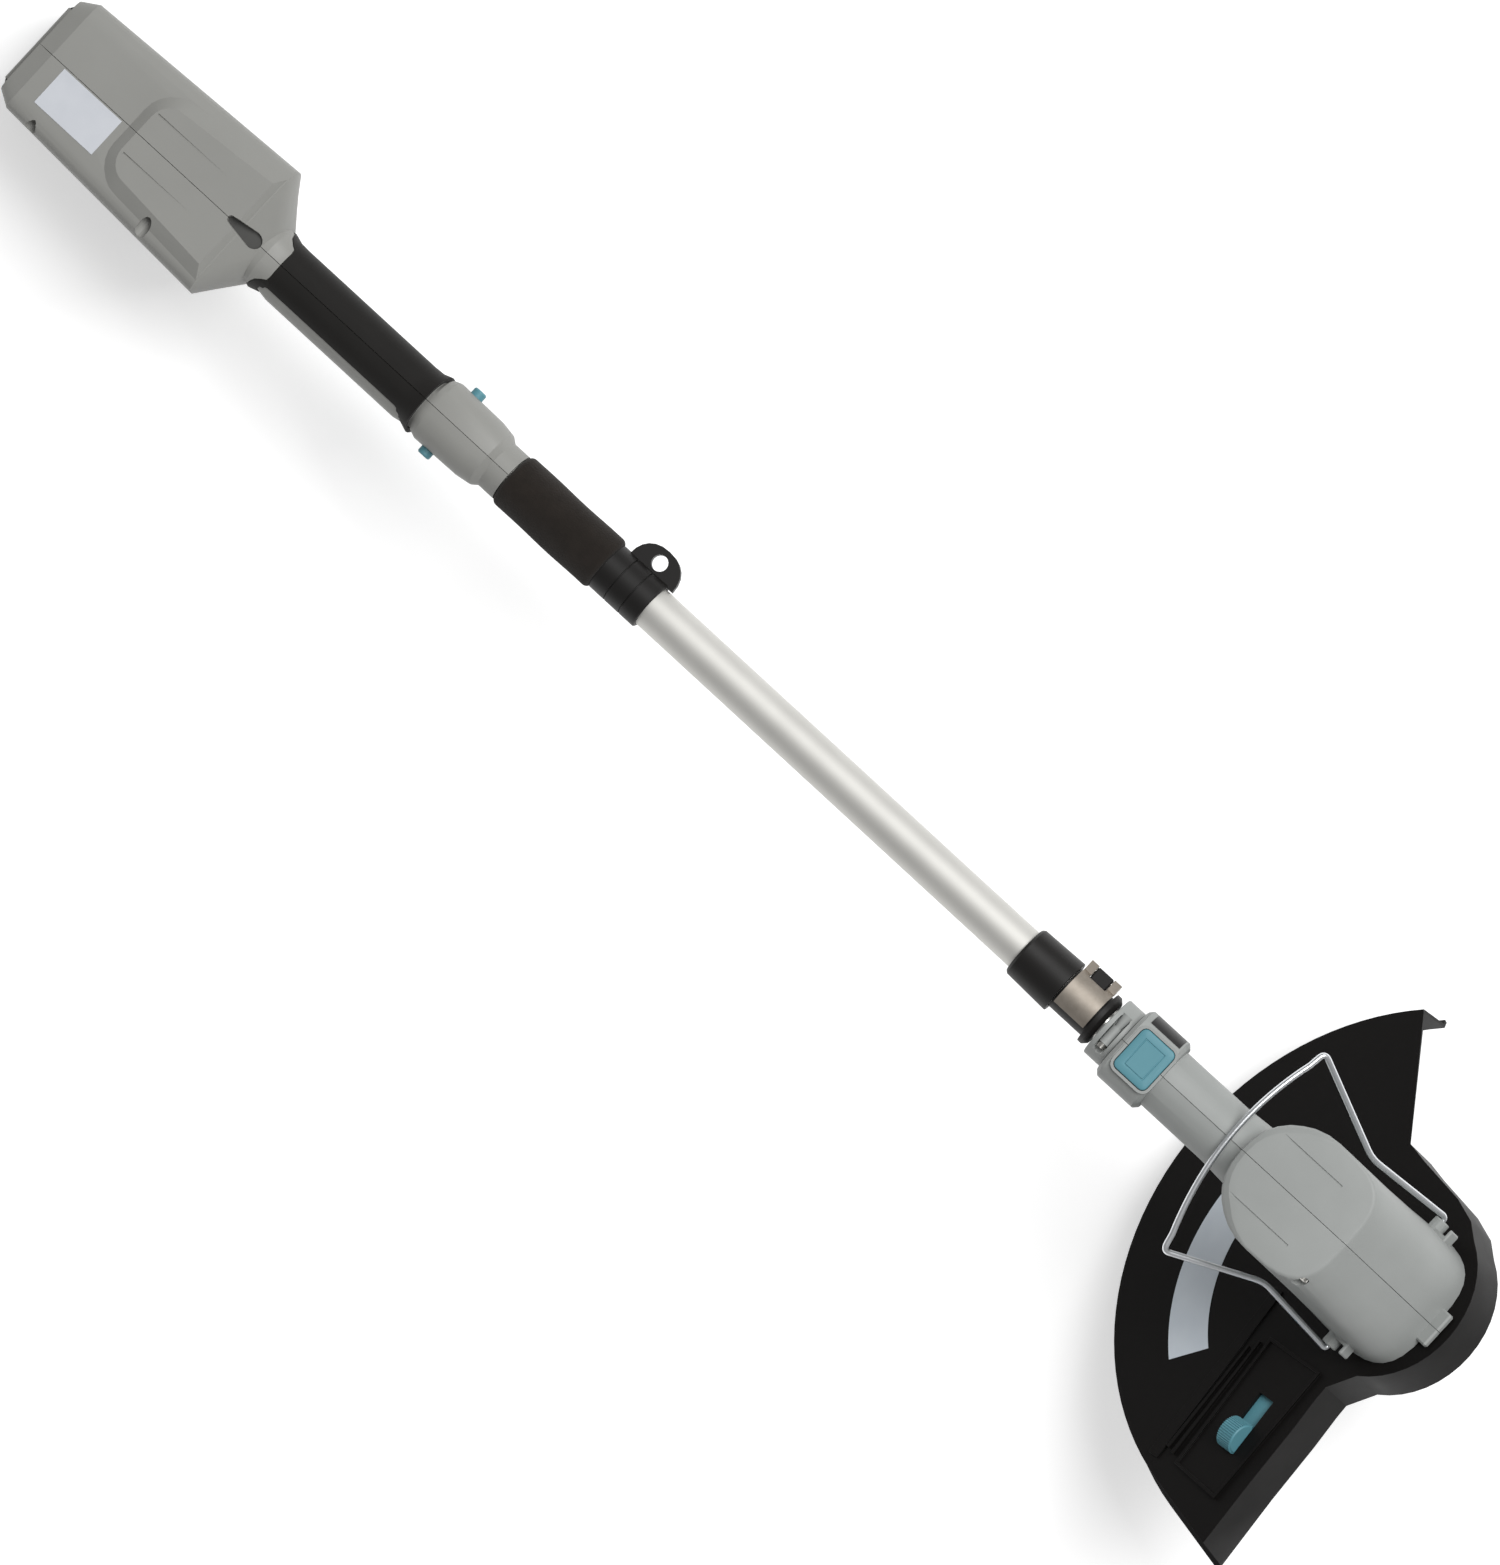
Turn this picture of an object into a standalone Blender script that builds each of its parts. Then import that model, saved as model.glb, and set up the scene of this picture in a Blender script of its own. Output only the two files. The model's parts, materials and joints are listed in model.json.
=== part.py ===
# Cordless string trimmer, lying on a floor on its battery and the rear edge of its guard.
# Units are metres, +Z is up, and +X runs from the handle to the cutting head.
import bmesh
import bpy
import math
from mathutils import Matrix, Vector

COLLECTION_NAME = "string_trimmer"
GAP = 0.0003
ROUND = 32
SMALL_ROUND = 16
# Further than any piece reaches, for cutters that run out of one.
FAR = 0.5

# The lie of the object: the pole rises towards the head, which leans back over its guard.
POLE_RISE = math.radians(7.0)
HEAD_LEAN = math.radians(34.0)
AXIS_HEIGHT = 0.0725

# Handle, measured along the pole axis from its rear end.
HOUSING_LENGTH = 0.1635
HOUSING_REAR = 0.0085
HOUSING_HALF_WIDTH = 0.0448
HOUSING_REAR_HALF_WIDTH = 0.0388
HOUSING_TOP = 0.036
HOUSING_WALL = 0.0026
REAR_CHAMFER = 0.010
REAR_TUCK = 0.0058
REAR_DROP = 0.0050
HOUSING_DEPTH = 0.062
HOUSING_SQUARENESS = 9.0
SHOULDER_LENGTH = 0.0165
SHOULDER_HALF_WIDTH = 0.0195
GRIP_LENGTH = 0.121
GRIP_ROUNDNESS = 2.4
GRIP_HALF_WIDTH = 0.0148
GRIP_TOP = 0.0195
GRIP_BOTTOM = 0.0215
GRIP_STRIP = 0.0047
OVERMOULD = 0.0019
OVERMOULD_SIDE = 0.0018
NOSE_LENGTH = 0.046
NOSE_HALF_WIDTH = 0.0200
NOSE_TOP = 0.0215
NOSE_BOTTOM = 0.0260
NECK_LENGTH = 0.012
NECK_RADIUS = 0.0152
OVERMOULD_FLARE = 0.0022
TONGUE_LOW = 0.0080
TONGUE = [(-0.0100, 0.0190), (0.0004, 0.0190), (0.0030, 0.0152), (0.0064, 0.0126), (0.0090, 0.0112),
          (0.0098, 0.0085)]

# Raised panel on the housing: rear end, half width behind the corners and at the front, corner.
PANEL_BASE = (0.0757, 0.0345, 0.0380, 0.0220)
PANEL_TOP = (0.0840, 0.0251, 0.0299, 0.0130)
PANEL_RISE = 0.0040
PANEL_ROOT = 0.0012
PANEL_GROOVES = (0.0154, -0.0132)
PANEL_GROOVE_START = 0.0860
PANEL_GROOVE_END = 0.1400
GROOVE_WIDTH = 0.0012
GROOVE_DEPTH = 0.0008

# Teardrop recess over the front crease of the housing.
RECESS_START = 0.1536
RECESS_END = 0.1749
RECESS_REAR_HALF = 0.0023
RECESS_FRONT_HALF = 0.0049
RECESS_REAR_FLOOR = 0.0355
RECESS_FRONT_FLOOR = 0.0225

# Screws that draw the two halves of a shell together, from the right side.
SHELL_SCREW_RADIUS = 0.00175
SHELL_SCREW_LENGTH = 0.0320
SHELL_SCREW_HEAD = 0.0022
SHELL_SCREW_HEAD_RADIUS = 0.0031
SHELL_SCREW_BORE = 0.0036
SHELL_SCREW_POST = 0.0055
HANDLE_SCREWS = [(0.0363, -0.0240, 0.0315), (0.1217, -0.0240, 0.0350)]
HEAD_SCREWS = [(0.0275, -0.0275, 0.0980)]

# Battery pack under the housing, square to the floor.
BATTERY_LENGTH = 0.1234
BATTERY_HALF_WIDTH = 0.0375
BATTERY_HEIGHT = 0.0400
BATTERY_REAR = -0.0062
BATTERY_WALL = 0.0022
BATTERY_CORNER = 0.0103
BATTERY_EDGE = 0.0030
RAIL_HEAD_HALF_WIDTH = 0.0260
RAIL_NECK_HALF_WIDTH = 0.0215
RAIL_NECK_HEIGHT = 0.0042
RAIL_HEAD_HEIGHT = 0.0046
RAIL_CLEARANCE = 0.0005
SLAB_HEIGHT = 0.0130
TERMINAL_LENGTH = 0.014
TERMINAL_HALF_WIDTH = 0.0200
CELL_RADIUS = 0.0090
CELL_LENGTH = 0.0650
CELL_COUNT = 5
CELL_REAR_ROOM = 0.0090
CELL_FRONT_ROOM = 0.0050
TAB_THICKNESS = 0.0008
LATCH_WIDTH = 0.026
LATCH_HEIGHT = 0.012
LATCH_DEPTH = 0.0060
BOARD_LENGTH = 0.060
BOARD_HALF_WIDTH = 0.026
BOARD_THICKNESS = 0.0016

# Trigger, switch and lock-off bar.
TRIGGER_PIVOT_X = HOUSING_LENGTH + SHOULDER_LENGTH + GRIP_LENGTH + 0.0030
TRIGGER_PIVOT_Z = -0.0175
TRIGGER_LENGTH = 0.044
TRIGGER_WIDTH = 0.0150
TRIGGER_DROP = 0.0200
TRIGGER_PIN_RADIUS = 0.0020
SWITCH_LENGTH = 0.026
SWITCH_WIDTH = 0.0160
SWITCH_HEIGHT = 0.0134
LOCK_BAR_X = TRIGGER_PIVOT_X + 0.0120
LOCK_BAR_RADIUS = 0.00415
LOCK_BAR_HALF_LENGTH = 0.0240
LOCK_BAR_CLEARANCE = 0.0003

# Pole: foam grip, strap collar, outer tube and its clamp.
TUBE_RADIUS = 0.0125
TUBE_WALL = 0.0012
TUBE_START = LOCK_BAR_X + 0.0100
FOAM_LENGTH = 0.0720
FOAM_RADIUS = 0.0170
FOAM_EDGE = 0.0030
COLLAR_LENGTH = 0.0330
COLLAR_RADIUS = 0.0148
COLLAR_GROOVES = 2
COLLAR_GROOVE = 0.0008
LUG_LENGTH = 0.0320
LUG_REACH = 0.0290
LUG_THICKNESS = 0.0060
LUG_HOLE_RADIUS = 0.0048
LUG_HOLE_REACH = 0.0207
LUG_FORWARD = 0.0040
TUBE_BORE_CLEARANCE = 0.0003
SLEEVE_START = 0.7456
SLEEVE_LENGTH = 0.0299
SLEEVE_REAR_RADIUS = 0.0158
SLEEVE_FRONT_RADIUS = 0.0167
CLAMP_LENGTH = 0.0240
CLAMP_RADIUS = 0.0134
CLAMP_SPIGOT = 0.0140
FLANGE_RADIUS = 0.0166
FLANGE_LENGTH = 0.0052
FLANGE_CHAMFER = 0.0024
LEVER_WALL = 0.0014
LEVER_WIDTH = 0.0216
LEVER_RADIUS = 0.0160
LEVER_PIN_Y = 0.0178
LEVER_PIN_Z = 0.0040
LEVER_PIN_RADIUS = 0.0015

# Inner tube and the socket that carries the head.
INNER_TUBE_RADIUS = 0.0100
INNER_TUBE_WALL = 0.0010
INNER_TUBE_START = 0.4700
STOP_FLANGE = 0.0080
STOP_SPIGOT = 0.0100
SOCKET_START = 0.8065
SOCKET_LENGTH = 0.0122
SOCKET_RADIUS = 0.0189
SOCKET_SCREW_HEIGHT = 0.0146
SOCKET_SCREW_RADIUS = 0.0015
SOCKET_SCREW_HEAD_RADIUS = 0.0026
SOCKET_CHANNEL_WIDTH = 0.0064
SOCKET_CHANNEL_LENGTH = 0.0274
SOCKET_CHANNEL_MIDDLE = -0.0021
SOCKET_CHANNEL_FLOOR = 0.0128
SOCKET_BOSS = [(0, 0.0116), (0.0031, 0.0116), (0.0021, 0.0031), (0.0030, 0.0031), (0.0030, -0.0084),
               (0, -0.0084)]
SOCKET_SEAT = -0.0084
SOCKET_SCREW_HEAD = 0.0028
SOCKET_SCREW_TIP = 0.0085
INDEX_HUB_LENGTH = 0.0200
INDEX_HUB_RADIUS = 0.0150
INDEX_NOTCH_WIDTH = 0.0060
INDEX_NOTCH_DEPTH = 0.0030

# Cutting head, in its own axes: x forwards, z up along the motor shaft, from the guard plate.
HEAD_DISTANCE = 0.9687
HEAD_AXIS_HEIGHT = 0.0743
HEAD_WALL = 0.0025
HEAD_COLLAR_LENGTH = 0.0295
HEAD_COLLAR_HALF_WIDTH = 0.0235
HEAD_NECK_RADIUS = 0.0190
HEAD_NECK_ROOT_RADIUS = 0.0230
HEAD_NECK_WAIST = 0.0750
HEAD_NECK_FLARE = 0.0580
HEAD_NECK_ROOT = 0.0300
HEAD_HALF_WIDTH = 0.0380
HEAD_FRONT = 0.0432
HEAD_FRONT_TOP = 0.0345
HEAD_BELLY = 0.0022
HEAD_REAR = 0.0440
HEAD_REAR_TOP = 0.0358
HEAD_TOP = 0.1190
HEAD_TOP_SLOPE = 0.5900
HEAD_TOP_ROUND = 0.0110
HEAD_CREASE_ROUND = 0.0016
HEAD_TAB_REACH = 0.0498
HEAD_TAB_HALF_WIDTH = 0.0112
HEAD_TAB_HEIGHT = 0.0045
CAP_GROOVE_SIDE = 0.0215
CAP_GROOVE_START = -0.0227
CAP_GROOVE_END = 0.0145
HEAD_BUTTON_LENGTH = 0.0232
HEAD_BUTTON_WIDTH = 0.0276
HEAD_BUTTON_HEIGHT = 0.0090
HEAD_BUTTON_TOP = 0.0250
HEAD_BUTTON_CORNER = 0.0034
HEAD_BUTTON_FORWARD = 0.0017
HEAD_BUTTON_RIM = 0.0016
HEAD_BUTTON_RIM_TOP = 0.0240
EAR_LENGTH = 0.0159
EAR_HEIGHT = 0.0086
EAR_REACH = 0.0462
EAR_FORWARD = 0.0093
EAR_OFFSET = 0.0046
EAR_WALL = 0.0017
EAR_BOSS_RADIUS = 0.0048
EAR_RISE = 0.0130

# Motor and spindle.
MOTOR_RADIUS = 0.0222
MOTOR_BASE = 0.0220
MOTOR_LENGTH = 0.0660
MOTOR_WALL = 0.0016
BRACKET_THICKNESS = 0.0035
SHAFT_RADIUS = 0.0025
BEARING_RADIUS = 0.0080
BEARING_WIDTH = 0.0060
ROTOR_RADIUS = 0.0170
MAGNET_THICKNESS = 0.0028

# Spool under the guard.
SPOOL_HOUSING_RADIUS = 0.0430
SPOOL_HOUSING_TOP = -0.0062
SPOOL_HOUSING_WALL = 0.0022
SPOOL_HOUSING_HEIGHT = 0.0330
SPOOL_FLANGE_RADIUS = 0.0380
SPOOL_CORE_RADIUS = 0.0180
SPOOL_FLANGE = 0.0016
SPOOL_HEIGHT = 0.0180
LINE_RADIUS = 0.0340
LID_HOLE_RADIUS = 0.0310
LID_THICKNESS = 0.0022
KNOB_RADIUS = 0.0300
KNOB_HEIGHT = 0.0150
EYELET_RADIUS = 0.0040
EYELET_BORE = 0.0016

# Guard plate, skirt and blade.
GUARD_RADIUS = 0.1662
GUARD_THICKNESS = 0.0025
GUARD_SKIRT = 0.0268
GUARD_DRAFT = 0.0030
GUARD_LIP = 0.0030
GUARD_COLLAR_RADIUS = 0.0553
WING_CUT_ANGLE = math.radians(40.0)
WING_TANGENT_ANGLE = math.radians(8.0)
WING_FRONT_REACH = 0.0278
WING_FRONT = [(0.0236, -0.1300), (0.0205, -0.0920), (0.0182, -0.0725), (0.0176, -0.0640)]
BULGE_BEGIN = math.radians(-60.0)
BULGE_END = math.radians(64.0)
BULGE_SIDE = [(0.0139, 0.0566), (-0.0027, 0.0610), (-0.0364, 0.0642), (-0.0510, 0.0663)]
HUB_HOLE_RADIUS = 0.0110
GUARD_SCREW_RADIUS = 0.0020
GUARD_SCREW_HEAD_RADIUS = 0.0038
GUARD_SCREW_CIRCLE = 0.0300
GUARD_SCREW_COUNT = 3
GUARD_SCREW_LENGTH = 0.0120
BLADE_TRACK_ANGLE = math.radians(6.0)
BLADE_TRACK_OFFSET = -0.0156
BLADE_SLOT_START = 0.0905
BLADE_SLOT_LENGTH = 0.0365
BLADE_SLOT_WIDTH = 0.0110
BLADE_TRAVEL = 0.0190
SLIDER_CLEARANCE = 0.0005
SLIDER_OVERLAP = 0.0024
SLIDER_THICKNESS = 0.0030
SLIDER_HALF_WIDTH = 0.0100
THUMB_RADIUS = 0.0090
THUMB_THICKNESS = 0.0112
THUMB_HEIGHT = 0.0022
BLADE_DROP = 0.0220
BLADE_THICKNESS = 0.0012

# Relief on the guard plate: the framed platform round the blade slot, two ribs and a ridge.
PLATFORM = [(-0.0308, -0.0643), (0.0094, -0.0600), (0.0144, -0.1503), (-0.0214, -0.1510)]
PLATFORM_RISE = 0.0020
PLATFORM_FLOOR = 0.0008
PLATFORM_LIP = 0.0018
GUARD_RIBS = [((-0.0345, -0.0700), (-0.0268, -0.1480), 0.0006, 0.0012, 0.0022),
              ((-0.0378, -0.0760), (-0.0318, -0.1470), 0.0005, 0.0011, 0.0022),
              ((-0.0490, -0.0420), (-0.0364, -0.1560), 0.0030, 0.0036, 0.0010)]
RIB_ROOT = 0.0010

# Wire plant guard.
WIRE_RADIUS = 0.00175
WIRE_HALF_WIDTH = 0.0690
WIRE_LEG_HALF_WIDTH = 0.0445
WIRE_KNEE = 0.0575
WIRE_CORNER_REACH = 0.1192
WIRE_REACH = 0.1322
WIRE_SKEW = 0.0045
WIRE_CORNER_ROUND = 0.0040
WIRE_RISE = math.radians(24.0)


def linear(channel):
    """Turn one sRGB channel, 0 to 1, into its linear value."""
    return channel / 12.92 if channel <= 0.04045 else ((channel + 0.055) / 1.055) ** 2.4


def material(name, hex_colour, roughness, metallic=0.0):
    """A plain Principled material in the piece's colour."""
    found = bpy.data.materials.get(name)
    if found:
        return found
    made = bpy.data.materials.new(name)
    made.use_nodes = True
    shader = made.node_tree.nodes["Principled BSDF"]
    channels = [int(hex_colour[start:start + 2], 16) / 255 for start in (0, 2, 4)]
    shader.inputs["Base Color"].default_value = [linear(c) for c in channels] + [1.0]
    shader.inputs["Roughness"].default_value = roughness
    shader.inputs["Metallic"].default_value = metallic
    return made


def grey_abs():
    return material("grey_abs", "8F918D", 0.45)


def black_abs():
    return material("black_abs", "1C1B1A", 0.50)


def soft_black():
    return material("black_soft_rubber", "1E1C1A", 0.70)


def teal():
    return material("teal_plastic", "5B98A5", 0.40)


def steel():
    return material("bright_steel", "B9B6B0", 0.30, 1.0)


def aluminium():
    return material("satin_aluminium", "D5D5D0", 0.35, 1.0)


def copper():
    return material("copper_winding", "A4623A", 0.40, 1.0)


def green_board():
    return material("green_board", "2E5B3A", 0.50)


def line_nylon():
    return material("line_nylon", "B8BDB5", 0.35)


# Scene, collections and the three sets of axes that pieces stand in.

def clear_scene():
    for old in list(bpy.data.objects):
        bpy.data.objects.remove(old, do_unlink=True)


def new_collection(name):
    made = bpy.data.collections.new(name)
    bpy.context.scene.collection.children.link(made)
    return made


def axes(name, location, rotation, parent=None):
    """An empty that pieces stand in."""
    empty = bpy.data.objects.new(name, None)
    empty.location = location
    empty.rotation_euler = rotation
    empty.parent = parent
    empty.empty_display_size = 0.02
    parts.objects.link(empty)
    return empty


def finish(obj, parent, location=(0, 0, 0), rotation=(0, 0, 0), look=None, cutter=False):
    """Put a new object in its collection and on its axes."""
    for home in list(obj.users_collection):
        home.objects.unlink(obj)
    (cutters if cutter else parts).objects.link(obj)
    obj.parent = parent
    obj.location = location
    obj.rotation_euler = rotation
    if cutter:
        obj.hide_render = True
        obj.display_type = "WIRE"
    elif look:
        obj.data.materials.clear()
        obj.data.materials.append(look)
        obj.data.shade_smooth()
        obj.data.set_sharp_from_angle(angle=math.radians(35))
    return obj


def mesh_object(name, build):
    """An object whose mesh is filled by a function that takes a bmesh."""
    mesh = bpy.data.meshes.new(name)
    work = bmesh.new()
    build(work)
    bmesh.ops.recalc_face_normals(work, faces=work.faces)
    work.to_mesh(mesh)
    work.free()
    return bpy.data.objects.new(name, mesh)


def turned(name, profile, along="z", steps=ROUND):
    """A turned shape from (radius, height) points that run down its outer side."""
    mesh = bpy.data.meshes.new(name)
    hollow = min(radius for radius, height in profile) > 0
    count = len(profile)
    edges = [(i, i + 1) for i in range(count - 1)] + ([(count - 1, 0)] if hollow else [])
    mesh.from_pydata([(radius, 0, height) for radius, height in profile], edges, [])
    obj = bpy.data.objects.new(name, mesh)
    parts.objects.link(obj)
    screw = obj.modifiers.new("turn", "SCREW")
    screw.steps = steps
    screw.render_steps = steps
    screw.use_merge_vertices = True
    screw.merge_threshold = 0.00001
    bake(obj)
    turn = {"z": Matrix(), "x": Matrix.Rotation(math.pi / 2, 4, "Y"),
            "y": Matrix.Rotation(-math.pi / 2, 4, "X")}[along]
    obj.data.transform(turn)
    return obj


def ring_profile(outer, inner, top, bottom, edge=0.0):
    """Profile of a plain ring, with its outer edges chamfered."""
    if edge <= 0:
        return [(outer, top), (outer, bottom), (inner, bottom), (inner, top)]
    return [(outer - edge, top), (outer, top - edge), (outer, bottom + edge), (outer - edge, bottom),
            (inner, bottom), (inner, top)]


def rod_profile(radius, top, bottom, edge=0.0):
    """Profile of a solid rod, with its edges chamfered."""
    if edge <= 0:
        return [(0, top), (radius, top), (radius, bottom), (0, bottom)]
    return [(0, top), (radius - edge, top), (radius, top - edge), (radius, bottom + edge),
            (radius - edge, bottom), (0, bottom)]


def bake(obj):
    """Replace an object's mesh by what its modifiers make of it."""
    bpy.context.view_layer.update()
    evaluated = obj.evaluated_get(bpy.context.evaluated_depsgraph_get())
    mesh = bpy.data.meshes.new_from_object(evaluated)
    obj.modifiers.clear()
    obj.data = mesh
    work = bmesh.new()
    work.from_mesh(mesh)
    bmesh.ops.remove_doubles(work, verts=work.verts, dist=0.000002)
    bmesh.ops.dissolve_degenerate(work, edges=work.edges, dist=0.000002)
    work.to_mesh(mesh)
    work.free()


def box(name, size, centre=(0, 0, 0), edge=0.0, segments=1):
    """A box with its edges bevelled, kept around its own origin by centre."""
    def build(work):
        bmesh.ops.create_cube(work, size=1.0)
        bmesh.ops.scale(work, vec=size, verts=work.verts)
        bmesh.ops.translate(work, vec=centre, verts=work.verts)
        if edge > 0:
            bmesh.ops.bevel(work, geom=work.edges, offset=edge, segments=segments,
                            affect="EDGES", profile=0.5)
    return mesh_object(name, build)


def span_box(name, low, high, edge=0.0, segments=1):
    """A box between two corners."""
    size = [b - a for a, b in zip(low, high)]
    centre = [(a + b) / 2 for a, b in zip(low, high)]
    return box(name, size, centre, edge, segments)


def loft(name, rings):
    """A closed skin through rings of equally many points."""
    def build(work):
        made = [[work.verts.new(point) for point in ring] for ring in rings]
        count = len(made[0])
        for lower, upper in zip(made, made[1:]):
            for i in range(count):
                j = (i + 1) % count
                work.faces.new((lower[i], lower[j], upper[j], upper[i]))
        work.faces.new(made[0][::-1])
        work.faces.new(made[-1])
    return mesh_object(name, build)


def slab(name, outline, bottom, top):
    """A flat plate: a 2D outline of (x, y) points given a thickness."""
    def build(work):
        face = work.faces.new([work.verts.new((x, y, bottom)) for x, y in outline])
        lifted = bmesh.ops.extrude_face_region(work, geom=[face])
        verts = [item for item in lifted["geom"] if isinstance(item, bmesh.types.BMVert)]
        bmesh.ops.translate(work, vec=(0, 0, top - bottom), verts=verts)
    return mesh_object(name, build)


def rounded_outline(length, width, corner, middle=0.0):
    """Plan of a rectangle with round corners, its middle moved sideways by a given distance."""
    points = []
    steps = 4
    for turn, (along, across) in enumerate(((1, 1), (-1, 1), (-1, -1), (1, -1))):
        for i in range(steps + 1):
            angle = math.pi / 2 * (turn + i / steps)
            points.append((along * (length / 2 - corner) + corner * math.cos(angle),
                           across * (width / 2 - corner) + corner * math.sin(angle) + middle))
    return points


def rib_outline(start, end, start_half, end_half):
    """Plan of a straight rib between two points, with its half width at each."""
    run = (Vector(end) - Vector(start)).normalized()
    side = Vector((-run.y, run.x))
    corners = [Vector(start) + side * start_half, Vector(start) - side * start_half,
               Vector(end) - side * end_half, Vector(end) + side * end_half]
    return [tuple(corner) for corner in corners]


def soften(obj, width):
    """Round every sharp edge of a finished piece a little."""
    edge = obj.modifiers.new("edge", "BEVEL")
    edge.width = width
    edge.segments = 2
    edge.limit_method = "ANGLE"
    edge.angle_limit = math.radians(40)
    bake(obj)


def power_point(angle, power):
    """A point of a unit superellipse."""
    c, s = math.cos(angle), math.sin(angle)
    return (math.copysign(abs(c) ** (2 / power), c), math.copysign(abs(s) ** (2 / power), s))


def pole_ring(x, half_width, top, bottom, power, left_extra=0.0, right_extra=0.0, count=ROUND):
    """A section across the pole axis, as points around the axis."""
    ring = []
    for i in range(count):
        across, up = power_point(2 * math.pi * i / count, power)
        side = half_width + (left_extra if across > 0 else right_extra)
        ring.append((x, across * side, up * (top if up > 0 else bottom)))
    return ring


def cut(obj, cutter, operation="DIFFERENCE"):
    """Apply one boolean and throw the cutter away."""
    modifier = obj.modifiers.new("cut", "BOOLEAN")
    modifier.operation = operation
    modifier.object = cutter
    modifier.solver = "EXACT"
    bake(obj)
    bpy.data.objects.remove(cutter, do_unlink=True)


def as_cutter(obj, parent, location=(0, 0, 0), rotation=(0, 0, 0)):
    return finish(obj, parent, location, rotation, cutter=True)


def copy_of(obj, name):
    made = obj.copy()
    made.data = obj.data.copy()
    made.name = name
    parts.objects.link(made)
    return made


def halves(whole, base_name, look, parent, extent=1.5):
    """Split a shell at the seam into its left and right halves."""
    made = []
    for side, sign in (("left", 1), ("right", -1)):
        half = copy_of(whole, f"{base_name}_{side}")
        low = (-extent, GAP / 2, -extent) if sign > 0 else (-extent, -extent, -extent)
        high = (extent, extent, extent) if sign > 0 else (extent, -GAP / 2, extent)
        cut(half, as_cutter(span_box("half_space", low, high), parent), "INTERSECT")
        half.name = f"{base_name}_{side}"
        finish(half, parent, look=look)
        made.append(half)
    bpy.data.objects.remove(whole, do_unlink=True)
    return made


# Handle shells.

def grip_start():
    return HOUSING_LENGTH + SHOULDER_LENGTH


def grip_end():
    return grip_start() + GRIP_LENGTH


def nose_end():
    return grip_end() + NOSE_LENGTH


def neck_end():
    return nose_end() + NECK_LENGTH + 0.002


def handle_rings(inset=0.0):
    """Sections of the handle's skin, or of its hollow when inset by the wall."""
    deep, square, soft = HOUSING_DEPTH, HOUSING_SQUARENESS, GRIP_ROUNDNESS
    start, end = grip_start(), grip_end()
    strip = GRIP_STRIP if inset == 0 else 0.0
    rows = [
        (HOUSING_REAR, HOUSING_REAR_HALF_WIDTH - REAR_TUCK, HOUSING_TOP - REAR_DROP, deep, square, 0.0),
        (HOUSING_REAR + REAR_CHAMFER, HOUSING_REAR_HALF_WIDTH, HOUSING_TOP, deep, square, 0.0),
        (HOUSING_LENGTH - inset, HOUSING_HALF_WIDTH, HOUSING_TOP, deep, square, 0.0),
        (start - 0.0030 - inset, SHOULDER_HALF_WIDTH, GRIP_TOP + 0.0022, GRIP_BOTTOM + 0.004, 2.6, 0.0),
        (start - 0.0008, GRIP_HALF_WIDTH, GRIP_TOP, GRIP_BOTTOM, soft, 0.0025),
        (start + 0.012, GRIP_HALF_WIDTH, GRIP_TOP, GRIP_BOTTOM, soft, strip),
        (end - 0.012, GRIP_HALF_WIDTH, GRIP_TOP, GRIP_BOTTOM, soft, strip),
        (end - 0.001, GRIP_HALF_WIDTH, GRIP_TOP, GRIP_BOTTOM, soft, 0.0025),
        (end + 0.001, NOSE_HALF_WIDTH - 0.0015, NOSE_TOP - 0.001, NOSE_BOTTOM - 0.001, 2.5, 0.0),
        (end + 0.005, NOSE_HALF_WIDTH, NOSE_TOP, NOSE_BOTTOM, 2.5, 0.0),
        (nose_end() - 0.010, NOSE_HALF_WIDTH - 0.0006, NOSE_TOP - 0.001, NOSE_BOTTOM - 0.003, 2.4, 0.0),
        (nose_end() - 0.001, 0.0180, 0.0190, 0.0200, 2.2, 0.0),
        (nose_end() + 0.003, NECK_RADIUS, NECK_RADIUS, NECK_RADIUS, 2.0, 0.0),
        (neck_end(), NECK_RADIUS, NECK_RADIUS, NECK_RADIUS, 2.0, 0.0),
    ]
    rings = []
    for x, half_width, top, bottom, power, extra in rows:
        rings.append(pole_ring(x, half_width - inset, top - inset, bottom - inset, power,
                               right_extra=extra))
    upright = math.tan(POLE_RISE)
    for index in (0, 1):
        rings[index] = [(x + (z - HOUSING_TOP) * upright, y, z) for x, y, z in rings[index]]
    return rings


def hollow_rings():
    """Sections of the handle's hollow: it stops short of the rear wall and of the neck."""
    rings = handle_rings(HOUSING_WALL)
    first = [(x + HOUSING_WALL, y, z) for x, y, z in rings[0]]
    stop = nose_end() - 0.004
    last = [(stop, y, z) for x, y, z in rings[-3]]
    return [first] + rings[1:-3] + [last]


def panel_outline(size, front, inset):
    """Plan of the raised panel: a straight front, widening sides and two round rear corners."""
    rear, rear_half, front_half, corner = size
    corner -= inset
    middle = rear + inset + corner
    points = [(front - inset, inset - front_half)]
    steps = 6
    for sign, begin in ((-1, 1.5 * math.pi), (1, math.pi)):
        for i in range(steps + 1):
            angle = begin - math.pi / 2 * i / steps
            points.append((middle + corner * math.cos(angle),
                           sign * (rear_half - inset - corner) + corner * math.sin(angle)))
    return points + [(front - inset, front_half - inset)]


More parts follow.
